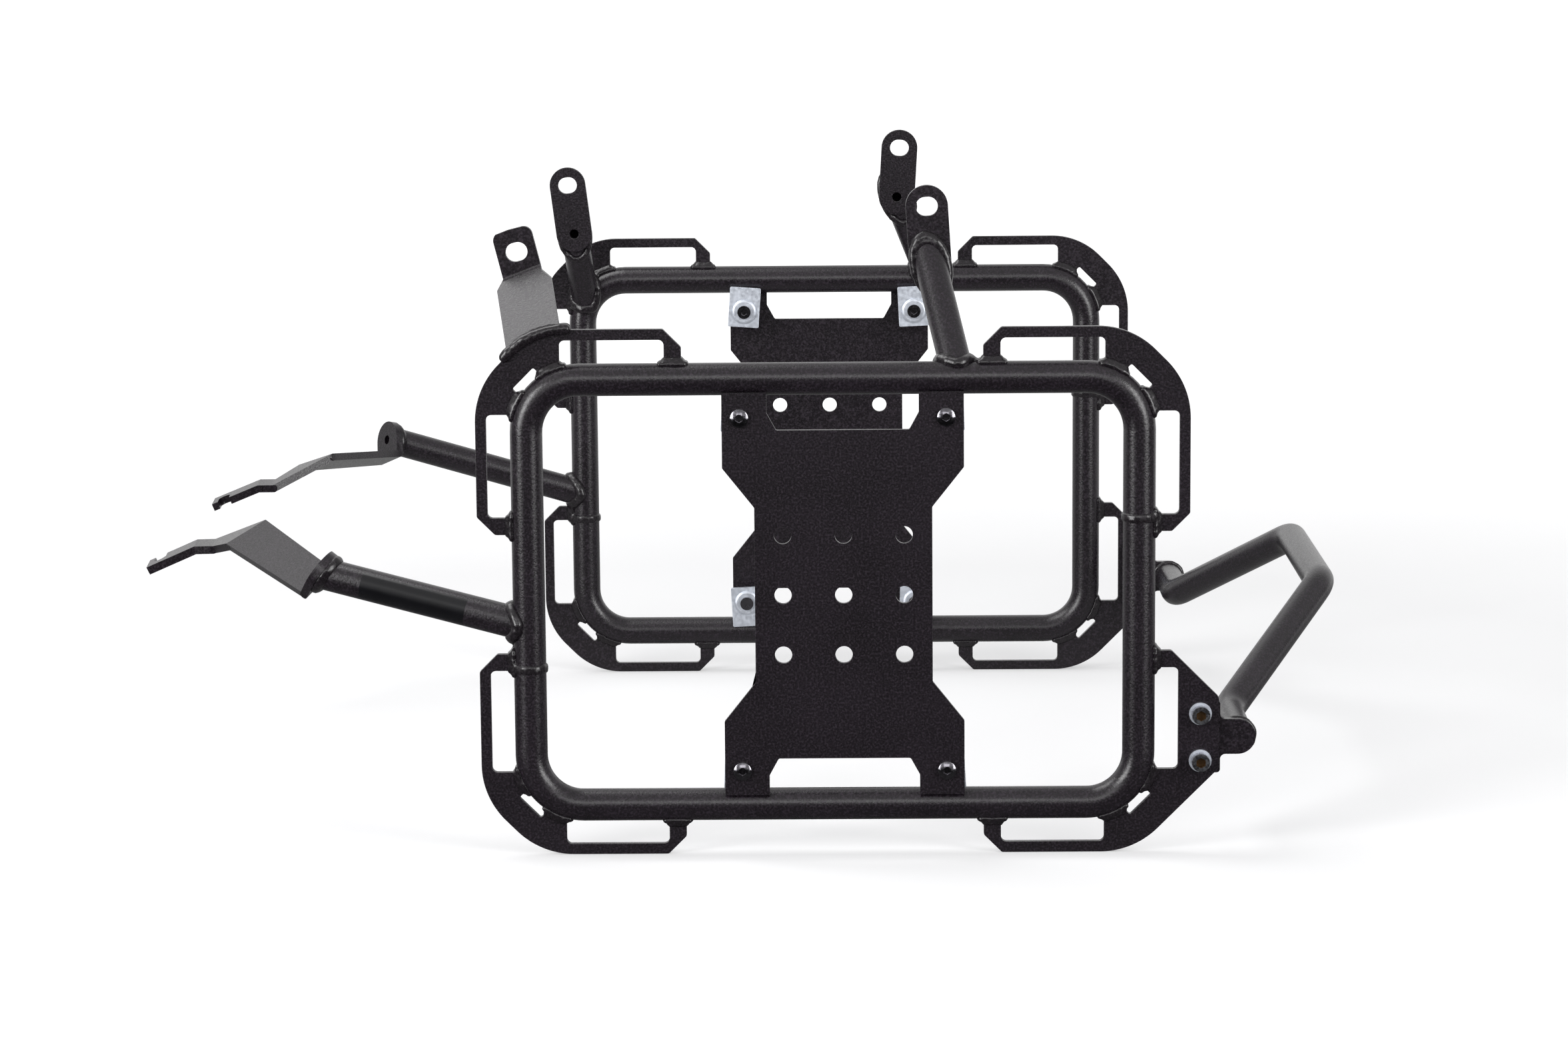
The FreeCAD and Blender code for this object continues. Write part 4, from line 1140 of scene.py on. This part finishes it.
@dataclass
class Studio:
    """White backdrop, dark room in front, and the camera at the photograph's place."""

    focal_pixels: float = 6536.0
    sensor_mm: float = 36.0
    pitch: float = 0.15819340042423663
    yaw: float = -0.014609110676301983
    roll: float = -0.008659201972632327
    camera_mm: tuple[float, float, float] = (59.12, -2644.03, 566.08)
    ambient: float = 0.34
    room: float = 0.04
    ceiling: float = 0.6
    floor_size: float = 60.0
    floor_drop: float = 0.0002
    floor_glow: float = 0.40
    floor_front: float = 0.05
    floor_turn: float = 0.45

    def camera(self) -> None:
        """Places the camera."""
        pitch, yaw, roll = self.pitch, self.yaw, self.roll
        forward = Vector((math.sin(yaw) * math.cos(pitch), math.cos(yaw) * math.cos(pitch),
                          -math.sin(pitch)))
        right = Vector((math.cos(yaw), -math.sin(yaw), 0.0))
        up = right.cross(forward)
        level_right = right * math.cos(roll) + up * math.sin(roll)
        level_up = right * -math.sin(roll) + up * math.cos(roll)
        data = bpy.data.cameras.new("camera")
        data.sensor_fit = "HORIZONTAL"
        data.sensor_width = self.sensor_mm
        data.lens = self.focal_pixels * self.sensor_mm / IMAGE_WIDTH
        data.clip_end = 200.0
        eye = bpy.data.objects.new("camera", data)
        bpy.context.scene.collection.objects.link(eye)
        turn = Matrix((level_right, level_up, -forward)).transposed().to_4x4()
        eye.matrix_world = Matrix.Translation(Vector(self.camera_mm) * MM) @ turn
        bpy.context.scene.camera = eye

    def world(self) -> None:
        """White backdrop, a room that is dark on the near side, and a level diffuse light."""
        world = bpy.data.worlds.new("studio")
        bpy.context.scene.world = world
        world.use_nodes = True
        tree = world.node_tree
        tree.nodes.clear()
        path = add_node(tree, "ShaderNodeLightPath")
        seen = add_node(tree, "ShaderNodeMath", {"operation": "MAXIMUM"},
                        {0: path.outputs["Is Camera Ray"], 1: path.outputs["Is Glossy Ray"]})
        both = add_node(tree, "ShaderNodeMath", {"operation": "MAXIMUM"},
                        {0: seen.outputs["Value"], 1: path.outputs["Is Transmission Ray"]})
        way = add_node(tree, "ShaderNodeTexCoord").outputs["Generated"]
        split = add_node(tree, "ShaderNodeSeparateXYZ", None, {"Vector": way})
        wall = add_node(tree, "ShaderNodeMapRange",
                        {"From Min": 0.25, "From Max": 0.70, "To Min": 0.0, "To Max": 1.0},
                        {"Value": split.outputs["Y"]})
        front = add_node(tree, "ShaderNodeMapRange",
                         {"From Min": 0.0, "From Max": 0.36, "To Min": self.room,
                          "To Max": self.ceiling}, {"Value": split.outputs["Z"]})
        room = add_node(tree, "ShaderNodeMath", {"operation": "MAXIMUM"},
                        {0: wall.outputs["Result"], 1: front.outputs["Result"]})
        back = add_node(tree, "ShaderNodeMath", {"operation": "MAXIMUM"},
                        {0: room.outputs["Value"], 1: path.outputs["Is Camera Ray"]})
        shown = add_node(tree, "ShaderNodeMath", {"operation": "MULTIPLY"},
                         {0: back.outputs["Value"], 1: both.outputs["Value"]})
        plain = add_node(tree, "ShaderNodeMath", {"operation": "SUBTRACT", 0: 1.0},
                         {1: both.outputs["Value"]})
        strength = add_node(tree, "ShaderNodeMath", {"operation": "MULTIPLY_ADD", 1: self.ambient},
                            {0: plain.outputs["Value"], 2: shown.outputs["Value"]})
        sky = add_node(tree, "ShaderNodeBackground", {"Color": (1.0, 1.0, 1.0, 1.0)},
                       {"Strength": strength.outputs["Value"]})
        output = tree.nodes.new("ShaderNodeOutputWorld")
        tree.links.new(sky.outputs["Background"], output.inputs["Surface"])

    def floor(self) -> None:
        """White paper floor that keeps the object's shadow."""
        Workshop.deselect()
        bpy.ops.mesh.primitive_plane_add(size=self.floor_size,
                                         location=(0.0, 0.0, -self.floor_drop))
        sheet = bpy.context.active_object
        sheet.name = "studio_floor"
        material, tree, surface = new_material("white_paper_floor")
        path = add_node(tree, "ShaderNodeLightPath")
        seen = add_node(tree, "ShaderNodeMath", {"operation": "MAXIMUM"},
                        {0: path.outputs["Is Camera Ray"], 1: path.outputs["Is Glossy Ray"]})
        paper = add_node(tree, "ShaderNodeBsdfDiffuse", {"Color": (0.8, 0.8, 0.8, 1.0)})
        thin = add_node(tree, "ShaderNodeBsdfDiffuse", {"Color": (0.62, 0.62, 0.63, 1.0)})
        place = add_node(tree, "ShaderNodeTexCoord").outputs["Object"]
        far = add_node(tree, "ShaderNodeVectorMath", {"operation": "LENGTH"}, {0: place})
        level = add_node(tree, "ShaderNodeMapRange",
                         {"From Min": 0.7, "From Max": 2.2, "To Min": self.floor_glow,
                          "To Max": 1.0}, {"Value": far.outputs["Value"]})
        split = add_node(tree, "ShaderNodeSeparateXYZ", None, {"Vector": place})
        rear = add_node(tree, "ShaderNodeMapRange",
                        {"From Min": -self.floor_turn, "From Max": self.floor_turn,
                         "To Min": self.floor_front, "To Max": 1.0},
                        {"Value": split.outputs["Y"]})
        share = add_node(tree, "ShaderNodeMath", {"operation": "MAXIMUM"},
                         {0: rear.outputs["Result"], 1: path.outputs["Is Camera Ray"]})
        power = add_node(tree, "ShaderNodeMath", {"operation": "MULTIPLY"},
                         {0: level.outputs["Result"], 1: share.outputs["Value"]})
        glow = add_node(tree, "ShaderNodeEmission", {"Color": (1.0, 1.0, 1.0, 1.0)},
                        {"Strength": power.outputs["Value"]})
        lit = add_node(tree, "ShaderNodeAddShader", None,
                       {0: thin.outputs["BSDF"], 1: glow.outputs["Emission"]})
        shown = add_node(tree, "ShaderNodeMixShader", None,
                         {0: path.outputs["Is Camera Ray"], 1: glow.outputs["Emission"],
                          2: lit.outputs["Shader"]})
        mix = add_node(tree, "ShaderNodeMixShader", None,
                       {0: seen.outputs["Value"], 1: paper.outputs["BSDF"],
                        2: shown.outputs["Shader"]})
        tree.links.new(mix.outputs["Shader"], surface)
        Workshop.dress(sheet, material)
        sheet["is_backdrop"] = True

    def build(self) -> None:
        """Builds the studio."""
        bpy.context.scene.view_settings.view_transform = "Standard"
        self.camera()
        self.world()
        self.floor()
        for box in SOFT_BOXES:
            box.build()


def report_sizes(last: object) -> None:
    """Defines a helper that turns a box into plain lists of numbers; nothing is written.

    Args:
        last: Bounds of the finished visual model; not used.
    """
    def plain(box: object) -> list[list[float]]:
        """A box as plain lists of numbers."""
        return [[float(value) for value in corner] for corner in box]


def main() -> None:
    """Builds the racks, the brace and the studio in order."""
    logging.basicConfig(level=logging.INFO, format="%(message)s")
    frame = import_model()
    shop = Workshop()
    for side in Side:
        rack = Rack(side, shop, frame["nodes"])
        rack.build()
        if side is Side.LEFT:
            BlankLabel(shop, rack).build()
    CrossBrace(shop, frame["nodes"]).build()
    Studio().build()
    report_sizes(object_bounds())


if __name__ == "__main__":
    main()
